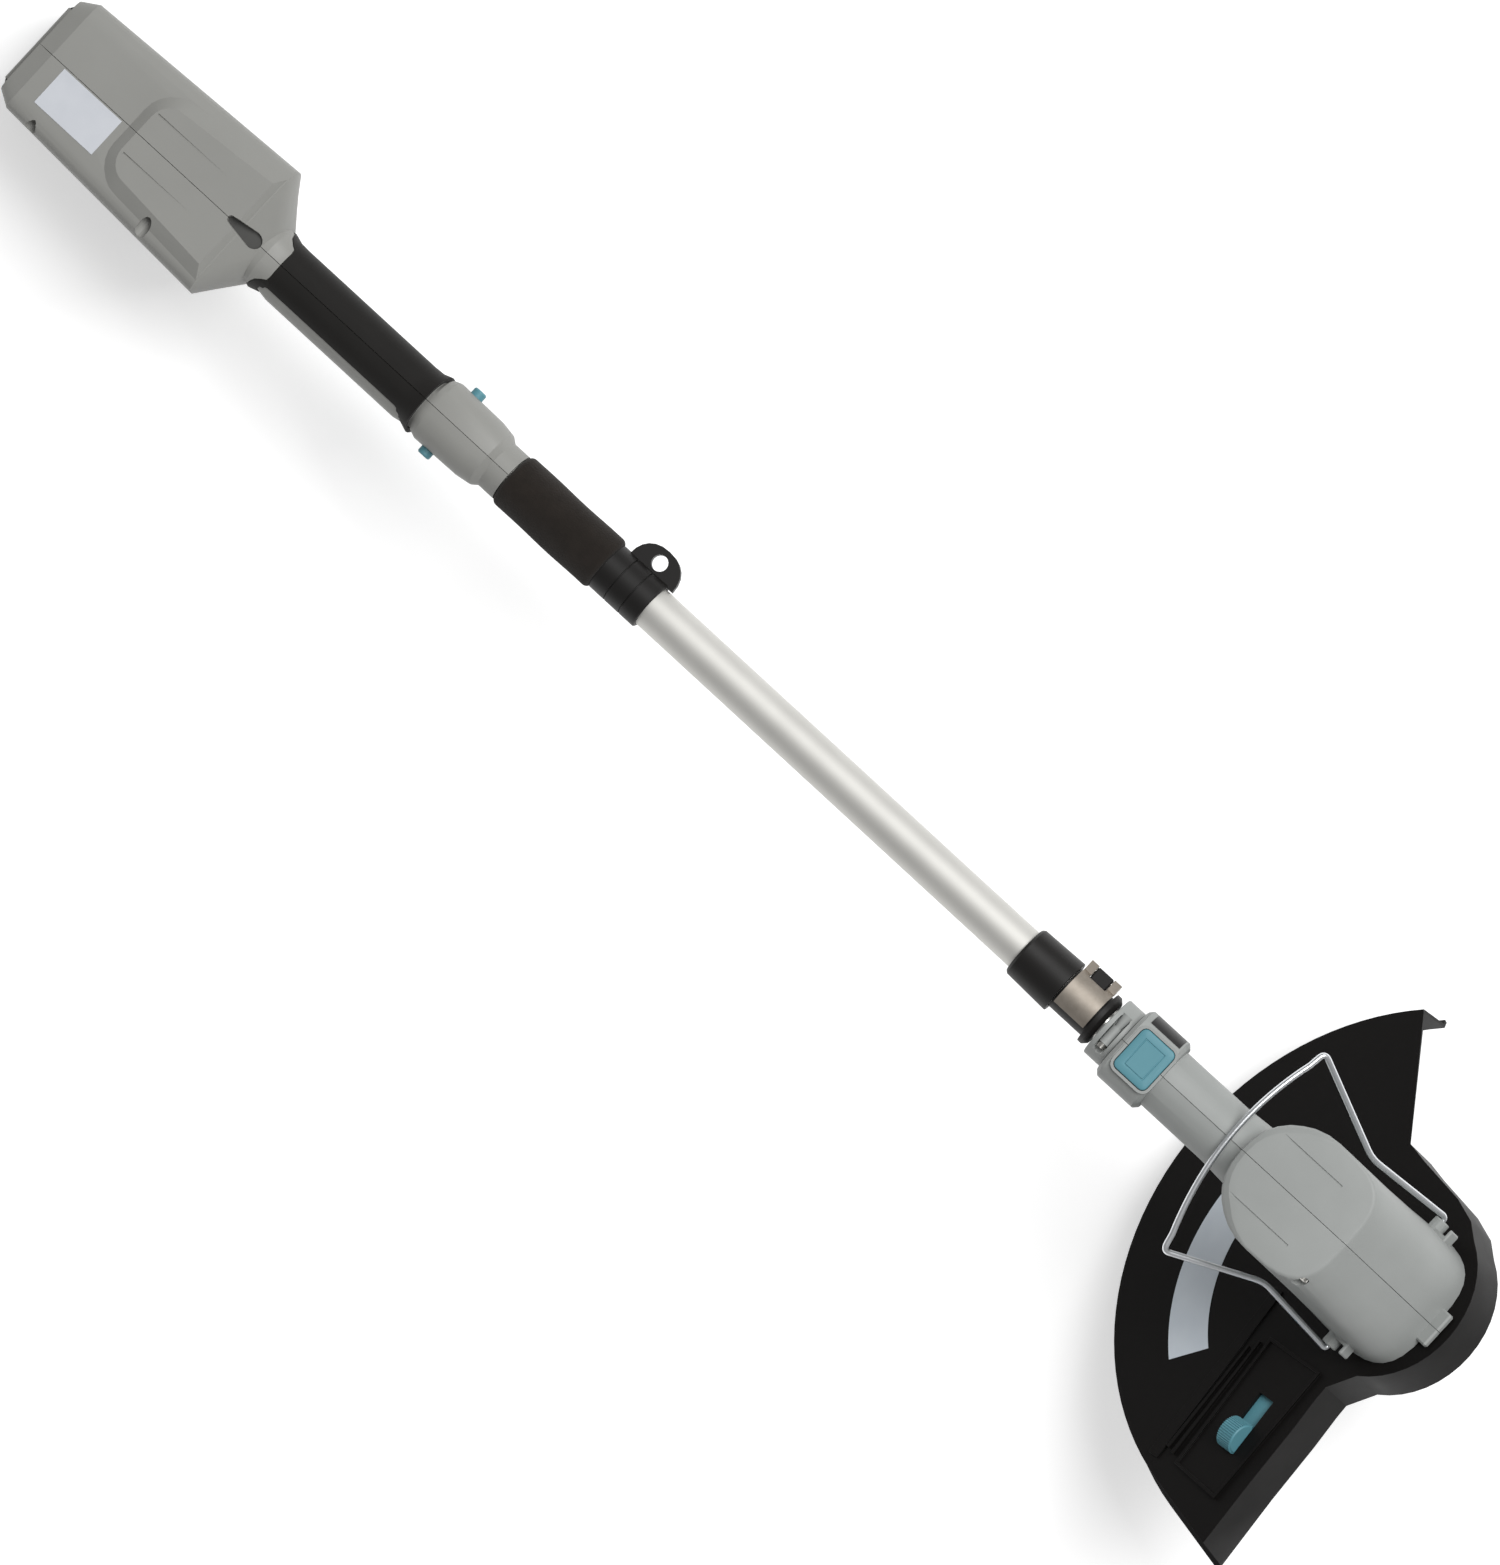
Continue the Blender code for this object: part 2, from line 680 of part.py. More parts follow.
def panel(name, inset=0.0):
    """Raised panel on the housing, or the room under it when inset by the wall."""
    low = panel_outline(PANEL_BASE, HOUSING_LENGTH, inset)
    high = panel_outline(PANEL_TOP, HOUSING_LENGTH - PANEL_RISE, inset)
    return loft(name, [[(x, y, HOUSING_TOP - PANEL_ROOT - inset) for x, y in low],
                       [(x, y, HOUSING_TOP + PANEL_RISE - inset) for x, y in high]])


def recess(name, grow=0.0):
    """Teardrop scoop over the crease; its flat floor falls towards the grip."""
    outline = []
    steps = 8
    slope = (RECESS_FRONT_FLOOR - RECESS_REAR_FLOOR) / (RECESS_END - RECESS_START)
    for middle, half, begin in ((RECESS_START + RECESS_REAR_HALF, RECESS_REAR_HALF, 0.5 * math.pi),
                                (RECESS_END - RECESS_FRONT_HALF, RECESS_FRONT_HALF, -0.5 * math.pi)):
        for i in range(steps + 1):
            angle = begin + math.pi * i / steps
            outline.append((middle + (half + grow) * math.cos(angle), (half + grow) * math.sin(angle)))
    low = [(x, y, RECESS_REAR_FLOOR + slope * (x - RECESS_START) - grow) for x, y in outline]
    return loft(name, [low, [(x, y, HOUSING_DEPTH) for x, y in outline]])


def groove(name, side, start, end, start_depth, end_depth):
    """Narrow groove cutter between two (x, z) points of a surface, with its depth at each."""
    half = GROOVE_WIDTH / 2
    rings = []
    for (x, z), depth in ((start, start_depth), (end, end_depth)):
        rings.append([(x, side - half, z - depth), (x, side + half, z - depth),
                      (x, side + half, z + 5 * GROOVE_DEPTH), (x, side - half, z + 5 * GROOVE_DEPTH)])
    return loft(name, rings)


def screw_post(hollow, frame, seat):
    """Leave a post solid in a hollow, from the right wall to past the end of a screw."""
    post = rod_profile(SHELL_SCREW_POST, SHELL_SCREW_LENGTH + 0.0030, -FAR)
    cut(hollow, as_cutter(turned("post", post, "y", SMALL_ROUND), frame, seat))


def screw_room(shell, frame, seat):
    """Sink a screw in a shell: a wide bore down to its seat and its own hole beyond."""
    for radius, deep in ((SHELL_SCREW_BORE, 0.0), (SHELL_SCREW_RADIUS + GAP, SHELL_SCREW_LENGTH + GAP)):
        bore = turned("bore", rod_profile(radius, deep, -HOUSING_HALF_WIDTH), "y", SMALL_ROUND)
        cut(shell, as_cutter(bore, frame, seat))


def shell_screw(name, frame, seat):
    """Pan-head screw that lies across a shell, with its head towards the right side."""
    tip, back = SHELL_SCREW_LENGTH - GAP, -GAP - SHELL_SCREW_HEAD
    profile = [(0, tip), (SHELL_SCREW_RADIUS, tip), (SHELL_SCREW_RADIUS, -GAP),
               (SHELL_SCREW_HEAD_RADIUS, -GAP), (SHELL_SCREW_HEAD_RADIUS, back + 0.0006),
               (SHELL_SCREW_HEAD_RADIUS - 0.0008, back), (0, back)]
    finish(turned(name, profile, "y", SMALL_ROUND), frame, seat, look=steel())


def tongue(name, grow=0.0):
    """Upright prism round the bare grey tongue at the rear of the grip's top."""
    start = overmould_start()
    side = [(start + x + grow, y + grow) for x, y in TONGUE]
    outline = side + [(x, -y) for x, y in reversed(side)]
    return slab(name, outline, TONGUE_LOW - grow, HOUSING_TOP)


def handle_body():
    """Outer form of the handle: housing with its panel, grip with its grey tongue, nose and neck."""
    shell = finish(loft("handle_shell", handle_rings()), pole)
    cut(shell, as_cutter(panel("panel"), pole), "UNION")
    rings = overmould_rings()[:4]
    buried = [(x - SHOULDER_LENGTH / 3, y, z) for x, y, z in rings[0]]
    bare = as_cutter(loft("bare", [buried] + rings), pole)
    cut(bare, as_cutter(tongue("tongue"), pole), "INTERSECT")
    cut(shell, bare, "UNION")
    under = span_box("under", (-FAR, -FAR, -FAR), (FAR, FAR, BATTERY_HEIGHT + GAP))
    cut(shell, as_cutter(under, floor))
    level = HOUSING_TOP + PANEL_RISE
    for side in PANEL_GROOVES:
        line = groove("line", side, (PANEL_GROOVE_START, level), (PANEL_GROOVE_END, level), GROOVE_DEPTH, 0.0)
        cut(shell, as_cutter(line, pole))
    return shell


def handle_hollow():
    """Room inside the handle, less the screw posts and the skin of the recess."""
    hollow = as_cutter(loft("hollow", hollow_rings()), pole)
    cut(hollow, as_cutter(panel("panel_room", HOUSING_WALL), pole), "UNION")
    solid_slab = span_box("slab", (-FAR, -FAR, -FAR), (FAR, FAR, BATTERY_HEIGHT + SLAB_HEIGHT))
    cut(hollow, as_cutter(solid_slab, floor))
    cut(hollow, as_cutter(recess("recess_skin", HOUSING_WALL), pole))
    for seat in HANDLE_SCREWS:
        screw_post(hollow, pole, seat)
    return hollow


def handle_shells():
    """Two moulded halves that hold the switch, the board, the battery rails and the tube."""
    shell = handle_body()
    cut(shell, handle_hollow())
    cut(shell, as_cutter(recess("recess"), pole))
    for index, seat in enumerate(HANDLE_SCREWS):
        screw_room(shell, pole, seat)
        shell_screw(f"handle_screw_{index + 1}", pole, seat)
    battery_rails(shell)
    bore = turned("bore", rod_profile(TUBE_RADIUS + TUBE_BORE_CLEARANCE, neck_end() + 0.01,
                                      TUBE_START - GAP), "x")
    cut(shell, as_cutter(bore, pole))
    slot = span_box("trigger_slot",
                    (TRIGGER_PIVOT_X - TRIGGER_LENGTH - 0.004, -TRIGGER_WIDTH / 2 - 0.0006, -0.050),
                    (TRIGGER_PIVOT_X + 0.0060, TRIGGER_WIDTH / 2 + 0.0006, -0.010))
    cut(shell, as_cutter(slot, pole))
    cross = turned("cross", rod_profile(LOCK_BAR_RADIUS + LOCK_BAR_CLEARANCE, 0.05, -0.05), "y",
                   SMALL_ROUND)
    cut(shell, as_cutter(cross, pole, (LOCK_BAR_X, 0, 0)))
    halves(shell, "handle_shell", grey_abs(), pole)


def battery_rails(shell):
    """T-slot under the housing for the battery's rails, and the window for its terminals."""
    low = BATTERY_HEIGHT
    neck_half = RAIL_NECK_HALF_WIDTH + RAIL_CLEARANCE
    head_half = RAIL_HEAD_HALF_WIDTH + RAIL_CLEARANCE
    front = BATTERY_REAR + BATTERY_LENGTH + 0.001
    neck_top = low + RAIL_NECK_HEIGHT - RAIL_CLEARANCE
    head_top = low + RAIL_NECK_HEIGHT + RAIL_HEAD_HEIGHT + RAIL_CLEARANCE
    cut(shell, as_cutter(span_box("rail_neck", (-0.02, -neck_half, low - 0.005),
                                  (front - 0.0006, neck_half, neck_top + 0.001)), floor))
    cut(shell, as_cutter(span_box("rail_head", (-0.02, -head_half, neck_top),
                                  (front, head_half, head_top)), floor))
    back = front - TERMINAL_LENGTH
    window = span_box("window", (back, -TERMINAL_HALF_WIDTH, low),
                      (front - 0.001, TERMINAL_HALF_WIDTH, low + SLAB_HEIGHT + 0.004))
    cut(shell, as_cutter(window, floor))


def overmould_start():
    return grip_start() - 0.0004


def overmould_rings():
    """Sections of the soft black skin on the grip, with a flare at each end."""
    start, end = overmould_start(), grip_end() - 0.0012
    half, top, bottom = GRIP_HALF_WIDTH + OVERMOULD, GRIP_TOP + OVERMOULD, GRIP_BOTTOM + OVERMOULD
    flare = OVERMOULD_FLARE
    rows = [(start, flare), (start + 0.006, 0.0003), (start + 0.012, 0.0),
            (end - 0.012, 0.0), (end - 0.005, 0.0004), (end, flare)]
    return [pole_ring(x, half + out, top + out, bottom + out, GRIP_ROUNDNESS, right_extra=OVERMOULD_SIDE)
            for x, out in rows]


def grip_overmoulds():
    """Soft rubber moulded over the grip; the grey strip on the right side stays bare."""
    skin = finish(loft("grip_overmould", overmould_rings()), pole)
    core_rings = []
    for ring in handle_rings()[4:8]:
        core_rings.append([(x, y + math.copysign(GAP, y), z + math.copysign(GAP, z))
                           for x, y, z in ring])
    core_rings[0] = [(x - 0.003, y, z) for x, y, z in core_rings[0]]
    core_rings[-1] = [(x + 0.003, y, z) for x, y, z in core_rings[-1]]
    cut(skin, as_cutter(loft("core", core_rings), pole))
    cut(skin, as_cutter(tongue("tongue", GAP), pole))
    slot = span_box("trigger_slot",
                    (TRIGGER_PIVOT_X - TRIGGER_LENGTH - 0.0045, -TRIGGER_WIDTH / 2 - 0.0008, -0.050),
                    (TRIGGER_PIVOT_X + 0.0065, TRIGGER_WIDTH / 2 + 0.0008, -0.010))
    cut(skin, as_cutter(slot, pole))
    halves(skin, "grip_overmould", soft_black(), pole)


def terminal_block():
    """Moulded block with blade contacts at the front end of the battery rails."""
    front = BATTERY_REAR + BATTERY_LENGTH
    low = BATTERY_HEIGHT + RAIL_NECK_HEIGHT + RAIL_HEAD_HEIGHT + RAIL_CLEARANCE + GAP
    block = span_box("terminal_block",
                     (front - TERMINAL_LENGTH + 0.001 + GAP, -TERMINAL_HALF_WIDTH + GAP, low),
                     (front - GAP, TERMINAL_HALF_WIDTH - GAP, BATTERY_HEIGHT + SLAB_HEIGHT + 0.003))
    finish(block, floor, look=black_abs())


def control_board():
    """Circuit board on the slab over the battery rails."""
    low = BATTERY_HEIGHT + SLAB_HEIGHT + GAP
    end = BATTERY_REAR + BATTERY_LENGTH - TERMINAL_LENGTH - 0.002
    board = span_box("control_board", (end - BOARD_LENGTH, -BOARD_HALF_WIDTH, low),
                     (end, BOARD_HALF_WIDTH, low + BOARD_THICKNESS))
    for index in range(3):
        chip_x = end - BOARD_LENGTH + 0.010 + index * 0.018
        chip = span_box("chip", (chip_x, -0.012, low + BOARD_THICKNESS - 0.0004),
                        (chip_x + 0.012, 0.002 + index * 0.004, low + BOARD_THICKNESS + 0.006))
        finish(board, floor)
        cut(board, as_cutter(chip, floor), "UNION")
    finish(board, floor, look=green_board())


def pack_block(name, low, high, inset=0.0):
    """Upright block with the pack's plan, its two rear corners cut off, or the room inside it."""
    rear, front = BATTERY_REAR + inset, BATTERY_REAR + BATTERY_LENGTH - inset
    half = BATTERY_HALF_WIDTH - inset
    corner = BATTERY_CORNER - inset * (2 - math.sqrt(2))
    return slab(name, [(rear + corner, -half), (front, -half), (front, half), (rear + corner, half),
                       (rear, half - corner), (rear, corner - half)], low, high)


def battery():
    """Slide-on pack: a lower tray, an upper cover with its rails, five cells and a latch button."""
    rear, front = BATTERY_REAR, BATTERY_REAR + BATTERY_LENGTH
    split = BATTERY_HEIGHT * 0.55
    tray = finish(pack_block("battery_tray", 0, 2 * BATTERY_HEIGHT), floor)
    soften(tray, BATTERY_EDGE)
    cut(tray, as_cutter(span_box("above", (-FAR, -FAR, split - GAP / 2), (FAR, FAR, FAR)), floor))
    cut(tray, as_cutter(pack_block("room", BATTERY_WALL, BATTERY_HEIGHT, BATTERY_WALL), floor))
    cover = finish(pack_block("battery_cover", -BATTERY_HEIGHT, BATTERY_HEIGHT), floor)
    soften(cover, BATTERY_EDGE)
    cut(cover, as_cutter(span_box("below", (-FAR, -FAR, -FAR), (FAR, FAR, split + GAP / 2)), floor))
    neck_top = BATTERY_HEIGHT + RAIL_NECK_HEIGHT
    rail_front = front - TERMINAL_LENGTH - 0.004
    neck = span_box("neck", (rear + 0.012, -RAIL_NECK_HALF_WIDTH, BATTERY_HEIGHT - 0.004),
                    (rail_front, RAIL_NECK_HALF_WIDTH, neck_top + 0.001))
    cut(cover, as_cutter(neck, floor), "UNION")
    head = span_box("head", (rear + 0.012, -RAIL_HEAD_HALF_WIDTH, neck_top),
                    (rail_front, RAIL_HEAD_HALF_WIDTH, neck_top + RAIL_HEAD_HEIGHT))
    cut(cover, as_cutter(head, floor), "UNION")
    room_top = BATTERY_HEIGHT - BATTERY_WALL
    cut(cover, as_cutter(pack_block("room", -BATTERY_HEIGHT, room_top, BATTERY_WALL), floor))
    pocket = span_box("pocket", (rear - 0.01, -LATCH_WIDTH / 2 - GAP, split + 0.001),
                      (rear + 0.008, LATCH_WIDTH / 2 + GAP, split + 0.001 + LATCH_HEIGHT + 2 * GAP))
    cut(cover, as_cutter(pocket, floor))
    finish(tray, floor, look=black_abs())
    finish(cover, floor, look=black_abs())
    latch = span_box("battery_latch", (0, -LATCH_WIDTH / 2, 0),
                     (LATCH_DEPTH, LATCH_WIDTH / 2, LATCH_HEIGHT), 0.0012, 1)
    finish(latch, floor, (rear + 0.0004, 0, split + 0.001 + GAP), look=teal())
    cells(rear, room_top)


def cells(rear, room_top):
    """Five round cells side by side, joined by welded nickel strips on their ends."""
    room = BATTERY_LENGTH - 2 * (BATTERY_WALL + CELL_RADIUS) - CELL_REAR_ROOM - CELL_FRONT_ROOM
    pitch = room / (CELL_COUNT - 1)
    first = rear + BATTERY_WALL + CELL_REAR_ROOM + CELL_RADIUS
    height = BATTERY_WALL + GAP + CELL_RADIUS
    pack = None
    for index in range(CELL_COUNT):
        cell = turned("cell", rod_profile(CELL_RADIUS, CELL_LENGTH / 2, -CELL_LENGTH / 2), "y",
                      SMALL_ROUND)
        finish(cell, floor, (first + index * pitch, 0, height))
        if pack is None:
            pack = cell
        else:
            cell_cutter = as_cutter(cell, floor, (first + index * pitch, 0, height))
            cut(pack, cell_cutter, "UNION")
    last = first + room
    for sign in (1, -1):
        near = sign * (CELL_LENGTH / 2 - 0.0005)
        far = sign * (CELL_LENGTH / 2 + TAB_THICKNESS)
        strip = span_box("strip", (first - 0.004, min(near, far), height - 0.004),
                         (last + 0.004, max(near, far), height + 0.004))
        cut(pack, as_cutter(strip, floor), "UNION")
    pack.name = "battery_cells"
    finish(pack, floor, pack.location, look=material("cell_wrap", "4C6A8C", 0.4))


def coil(name, parent, location, radius, wire, length, turns, along="z", look=None):
    """A coil spring as one bent wire."""
    steps = 8
    curve = bpy.data.curves.new(name, "CURVE")
    curve.dimensions = "3D"
    curve.bevel_depth = wire
    curve.bevel_resolution = 1
    curve.use_fill_caps = True
    spline = curve.splines.new("POLY")
    count = turns * steps + 1
    spline.points.add(count - 1)
    turn = {"z": Matrix(), "x": Matrix.Rotation(math.pi / 2, 3, "Y"),
            "y": Matrix.Rotation(-math.pi / 2, 3, "X")}[along]
    for i in range(count):
        angle = 2 * math.pi * i / steps
        point = Vector((radius * math.cos(angle), radius * math.sin(angle), length * i / (count - 1)))
        point = turn @ point if along != "z" else point
        spline.points[i].co = (*point, 1)
    return curve_piece(name, curve, parent, location, look or steel())


def curve_piece(name, curve, parent, location, look, rotation=(0, 0, 0)):
    """Turn a bevelled curve into a closed mesh object."""
    holder = bpy.data.objects.new(name + "_curve", curve)
    parts.objects.link(holder)
    bpy.context.view_layer.update()
    mesh = bpy.data.meshes.new_from_object(holder.evaluated_get(bpy.context.evaluated_depsgraph_get()))
    bpy.data.objects.remove(holder, do_unlink=True)
    work = bmesh.new()
    work.from_mesh(mesh)
    bmesh.ops.remove_doubles(work, verts=work.verts, dist=0.000005)
    bmesh.ops.recalc_face_normals(work, faces=work.faces)
    work.to_mesh(mesh)
    work.free()
    return finish(bpy.data.objects.new(name, mesh), parent, location, rotation, look=look)


def trigger_group():
    """Finger trigger on its pin, the switch above it, the return spring and the lock-off bar."""
    outline = [(0.0045, 0.0030), (0.0045, -0.0075), (-0.006, -0.0135), (-0.018, -0.0150),
               (-0.032, -TRIGGER_DROP + 0.001), (-0.041, -TRIGGER_DROP - 0.001),
               (-TRIGGER_LENGTH, -TRIGGER_DROP + 0.001), (-TRIGGER_LENGTH + 0.001, -0.0080),
               (-0.036, -0.0020), (-0.0255, -0.0008), (-0.0250, 0.0125), (-0.0210, 0.0125),
               (-0.0205, -0.0002), (-0.010, 0.0010)]
    blade = slab("trigger", outline, -TRIGGER_WIDTH / 2, TRIGGER_WIDTH / 2)
    blade.data.transform(Matrix.Rotation(math.pi / 2, 4, "X"))
    place = (TRIGGER_PIVOT_X, 0, TRIGGER_PIVOT_Z)
    finish(blade, pole, place)
    hole = turned("hole", rod_profile(TRIGGER_PIN_RADIUS + GAP, 0.02, -0.02), "y", SMALL_ROUND)
    cut(blade, as_cutter(hole, pole, place))
    finish(blade, pole, place, look=teal())
    pin_reach = TRIGGER_WIDTH / 2 + 0.0006 - GAP
    pin = turned("trigger_pin", rod_profile(TRIGGER_PIN_RADIUS, pin_reach, -pin_reach), "y", SMALL_ROUND)
    finish(pin, pole, place, look=steel())
    switch_x = TRIGGER_PIVOT_X - 0.012 - SWITCH_LENGTH
    switch_low = 0.0
    switch = span_box("trigger_switch",
                      (switch_x, -SWITCH_WIDTH / 2, switch_low),
                      (switch_x + SWITCH_LENGTH, SWITCH_WIDTH / 2, switch_low + SWITCH_HEIGHT), 0.0008)
    finish(switch, pole, look=black_abs())
    coil("trigger_spring", pole, (TRIGGER_PIVOT_X - 0.0310, 0, -0.0182), 0.0028, 0.0004, 0.0174, 6)
    bar = turned("lock_off_bar", rod_profile(LOCK_BAR_RADIUS, LOCK_BAR_HALF_LENGTH,
                                             -LOCK_BAR_HALF_LENGTH, 0.0008), "y", SMALL_ROUND)
    finish(bar, pole, (LOCK_BAR_X, 0, 0), look=teal())


# Pole.

def foam_start():
    return neck_end() + GAP


def strap_start():
    return foam_start() + FOAM_LENGTH + GAP


def strap_end():
    return strap_start() + COLLAR_LENGTH


def pole_pieces():
    """Foam sleeve, strap collar with its eye, and the outer aluminium tube."""
    bore = TUBE_RADIUS + TUBE_BORE_CLEARANCE
    start, end = foam_start(), foam_start() + FOAM_LENGTH
    edge = FOAM_EDGE
    profile = [(FOAM_RADIUS - edge, end), (FOAM_RADIUS - 0.3 * edge, end - 0.3 * edge),
               (FOAM_RADIUS, end - edge), (FOAM_RADIUS, start + edge),
               (FOAM_RADIUS - 0.3 * edge, start + 0.3 * edge), (FOAM_RADIUS - edge, start),
               (bore, start), (bore, end)]
    finish(turned("foam_grip", profile, "x"), pole, look=soft_black())
    strap_collar(bore)
    tube_end = SLEEVE_START + SLEEVE_LENGTH
    wall = ring_profile(TUBE_RADIUS, TUBE_RADIUS - TUBE_WALL, tube_end, TUBE_START)
    tube = turned("outer_tube", wall, "x")
    finish(tube, pole, look=aluminium())


def strap_collar(bore):
    """Black ring with two grooves and a flat eye for a shoulder strap on its left side."""
    start, end = strap_start(), strap_end()
    pitch = COLLAR_LENGTH / (COLLAR_GROOVES + 1)
    outer = [(COLLAR_RADIUS - 0.0006, end), (COLLAR_RADIUS, end - 0.0006)]
    for index in range(COLLAR_GROOVES):
        middle = end - pitch * (index + 1)
        half = COLLAR_GROOVE / 2
        outer += [(COLLAR_RADIUS, middle + half), (COLLAR_RADIUS - COLLAR_GROOVE, middle + half),
                  (COLLAR_RADIUS - COLLAR_GROOVE, middle - half), (COLLAR_RADIUS, middle - half)]
    outer += [(COLLAR_RADIUS, start), (bore, start), (bore, end)]
    ring = finish(turned("strap_collar", outer, "x"), pole)
    half = LUG_LENGTH / 2
    root = (bore + COLLAR_RADIUS) / 2 - 0.0006
    rise = LUG_REACH - root
    outline = []
    for i in range(13):
        across, up = power_point(math.pi * i / 12, 2.3)
        outline.append((half * across, root + rise * up))
    lug = slab("lug", outline, -LUG_THICKNESS / 2, LUG_THICKNESS / 2)
    centre = (start + end) / 2 + LUG_FORWARD
    cut(ring, as_cutter(lug, pole, (centre, 0, 0)), "UNION")
    hole = turned("hole", rod_profile(LUG_HOLE_RADIUS, 0.02, -0.02), "z", SMALL_ROUND)
    cut(ring, as_cutter(hole, pole, (centre, LUG_HOLE_REACH, 0)))
    finish(ring, pole, look=black_abs())


def clamp_start():
    return SLEEVE_START + SLEEVE_LENGTH + GAP


def clamp_group():
    """Black sleeve, split clamp with its end flange, plated lever and its pin."""
    bore = TUBE_RADIUS + TUBE_BORE_CLEARANCE
    start, end = SLEEVE_START, SLEEVE_START + SLEEVE_LENGTH
    profile = [(SLEEVE_FRONT_RADIUS, end), (SLEEVE_REAR_RADIUS, start + 0.0016),
               (SLEEVE_REAR_RADIUS - 0.0012, start), (bore, start), (bore, end)]
    finish(turned("lower_sleeve", profile, "x"), pole, look=black_abs())
    inner_bore = INNER_TUBE_RADIUS + TUBE_BORE_CLEARANCE
    spigot = TUBE_RADIUS - TUBE_WALL - TUBE_BORE_CLEARANCE
    face = clamp_start() + CLAMP_LENGTH + FLANGE_LENGTH
    flange_back = clamp_start() + CLAMP_LENGTH
    profile = [(FLANGE_RADIUS - FLANGE_CHAMFER, face), (FLANGE_RADIUS, face - FLANGE_CHAMFER),
               (FLANGE_RADIUS, flange_back), (CLAMP_RADIUS, flange_back),
               (CLAMP_RADIUS, clamp_start()), (spigot, clamp_start()),
               (spigot, clamp_start() - CLAMP_SPIGOT), (inner_bore, clamp_start() - CLAMP_SPIGOT),
               (inner_bore, face)]
    clamp = finish(turned("clamp_body", profile, "x"), pole)
    ear_start = clamp_start() + 0.0065
    ear_end = flange_back - 0.0065
    ear = span_box("ear", (ear_start, CLAMP_RADIUS - 0.0015, LEVER_PIN_Z - 0.0030),
                   (ear_end, LEVER_PIN_Y + 0.0030, LEVER_PIN_Z + 0.0030), 0.0008)
    cut(clamp, as_cutter(ear, pole), "UNION")
    pin_hole = turned("pin_hole", rod_profile(LEVER_PIN_RADIUS + GAP, 0.02, -0.02), "x", SMALL_ROUND)
    middle = (clamp_start() + flange_back) / 2
    cut(clamp, as_cutter(pin_hole, pole, (middle, LEVER_PIN_Y, LEVER_PIN_Z)))
    finish(clamp, pole, look=black_abs())
    clamp_lever(middle, ear_start, ear_end)


def clamp_lever(middle, ear_start, ear_end):
    """Bent steel strip over the clamp; its two knuckles turn on the pin at the left side."""
    pin = (middle, LEVER_PIN_Y, LEVER_PIN_Z)
    inside, outside = LEVER_RADIUS - LEVER_WALL, LEVER_RADIUS
    first, last = math.radians(22), math.radians(128)
    steps = 12
    angles = [first + (last - first) * i / steps for i in range(steps + 1)]
    arc_out = [(outside * math.cos(a), outside * math.sin(a)) for a in angles]
    arc_in = [(inside * math.cos(a), inside * math.sin(a)) for a in reversed(angles)]
    knuckle = 0.0034
    side = [(LEVER_PIN_Y - 0.0030, LEVER_PIN_Z - 0.0022), (LEVER_PIN_Y + 0.0012, LEVER_PIN_Z - knuckle),
            (LEVER_PIN_Y + knuckle, LEVER_PIN_Z - 0.0010), (LEVER_PIN_Y + knuckle, LEVER_PIN_Z + 0.0026)]
    outline = [(y - pin[1], z - pin[2]) for y, z in arc_out + arc_in + side]
    lever = slab("clamp_lever", outline, -LEVER_WIDTH / 2, LEVER_WIDTH / 2)
    lever.data.transform(Matrix(((0, 0, 1, 0), (1, 0, 0, 0), (0, 1, 0, 0), (0, 0, 0, 1))))
    finish(lever, pole, pin)
    notch = span_box("notch", (ear_start - GAP - middle, -0.0055, -0.0060),
                     (ear_end + GAP - middle, 0.010, 0.0052))
    cut(lever, as_cutter(notch, pole, pin))
    hole = turned("hole", rod_profile(LEVER_PIN_RADIUS + GAP, 0.03, -0.03), "x", SMALL_ROUND)
    cut(lever, as_cutter(hole, pole, pin))
    finish(lever, pole, pin, look=steel())
    reach = LEVER_WIDTH / 2
    rod = turned("lever_pin", rod_profile(LEVER_PIN_RADIUS, reach, -reach), "x", SMALL_ROUND)
    finish(rod, pole, pin, look=steel())


def socket_end():
    return SOCKET_START + SOCKET_LENGTH


def collar_start():
    return socket_end() + GAP


def collar_end():
    return collar_start() + HEAD_COLLAR_LENGTH


def boom():
    """Inner tube with its guide plug, the socket ring with its clamp screw and the index hub."""
    tube_end = collar_start() + INDEX_HUB_LENGTH
    inner = INNER_TUBE_RADIUS - INNER_TUBE_WALL
    tube = turned("inner_tube", ring_profile(INNER_TUBE_RADIUS, inner, tube_end, INNER_TUBE_START), "x")
    finish(tube, pole, look=aluminium())
    flange = TUBE_RADIUS - TUBE_WALL - GAP
    spigot = inner - GAP
    begin = INNER_TUBE_START - GAP
    profile = [(spigot, begin + STOP_SPIGOT), (spigot, begin), (flange, begin),
               (flange, begin - STOP_FLANGE), (0.0050, begin - STOP_FLANGE), (0.0050, begin + STOP_SPIGOT)]
    finish(turned("guide_plug", profile, "x"), pole, look=black_abs())
    bore = INNER_TUBE_RADIUS + GAP
    ring = ring_profile(SOCKET_RADIUS, bore, socket_end(), SOCKET_START, 0.0005)
    socket = turned("tube_socket", ring, "x")
    finish(socket, pole)
    middle = (SOCKET_START + socket_end()) / 2
    socket_clamp(socket, (middle, 0, SOCKET_SCREW_HEIGHT))
    index_hub(bore)


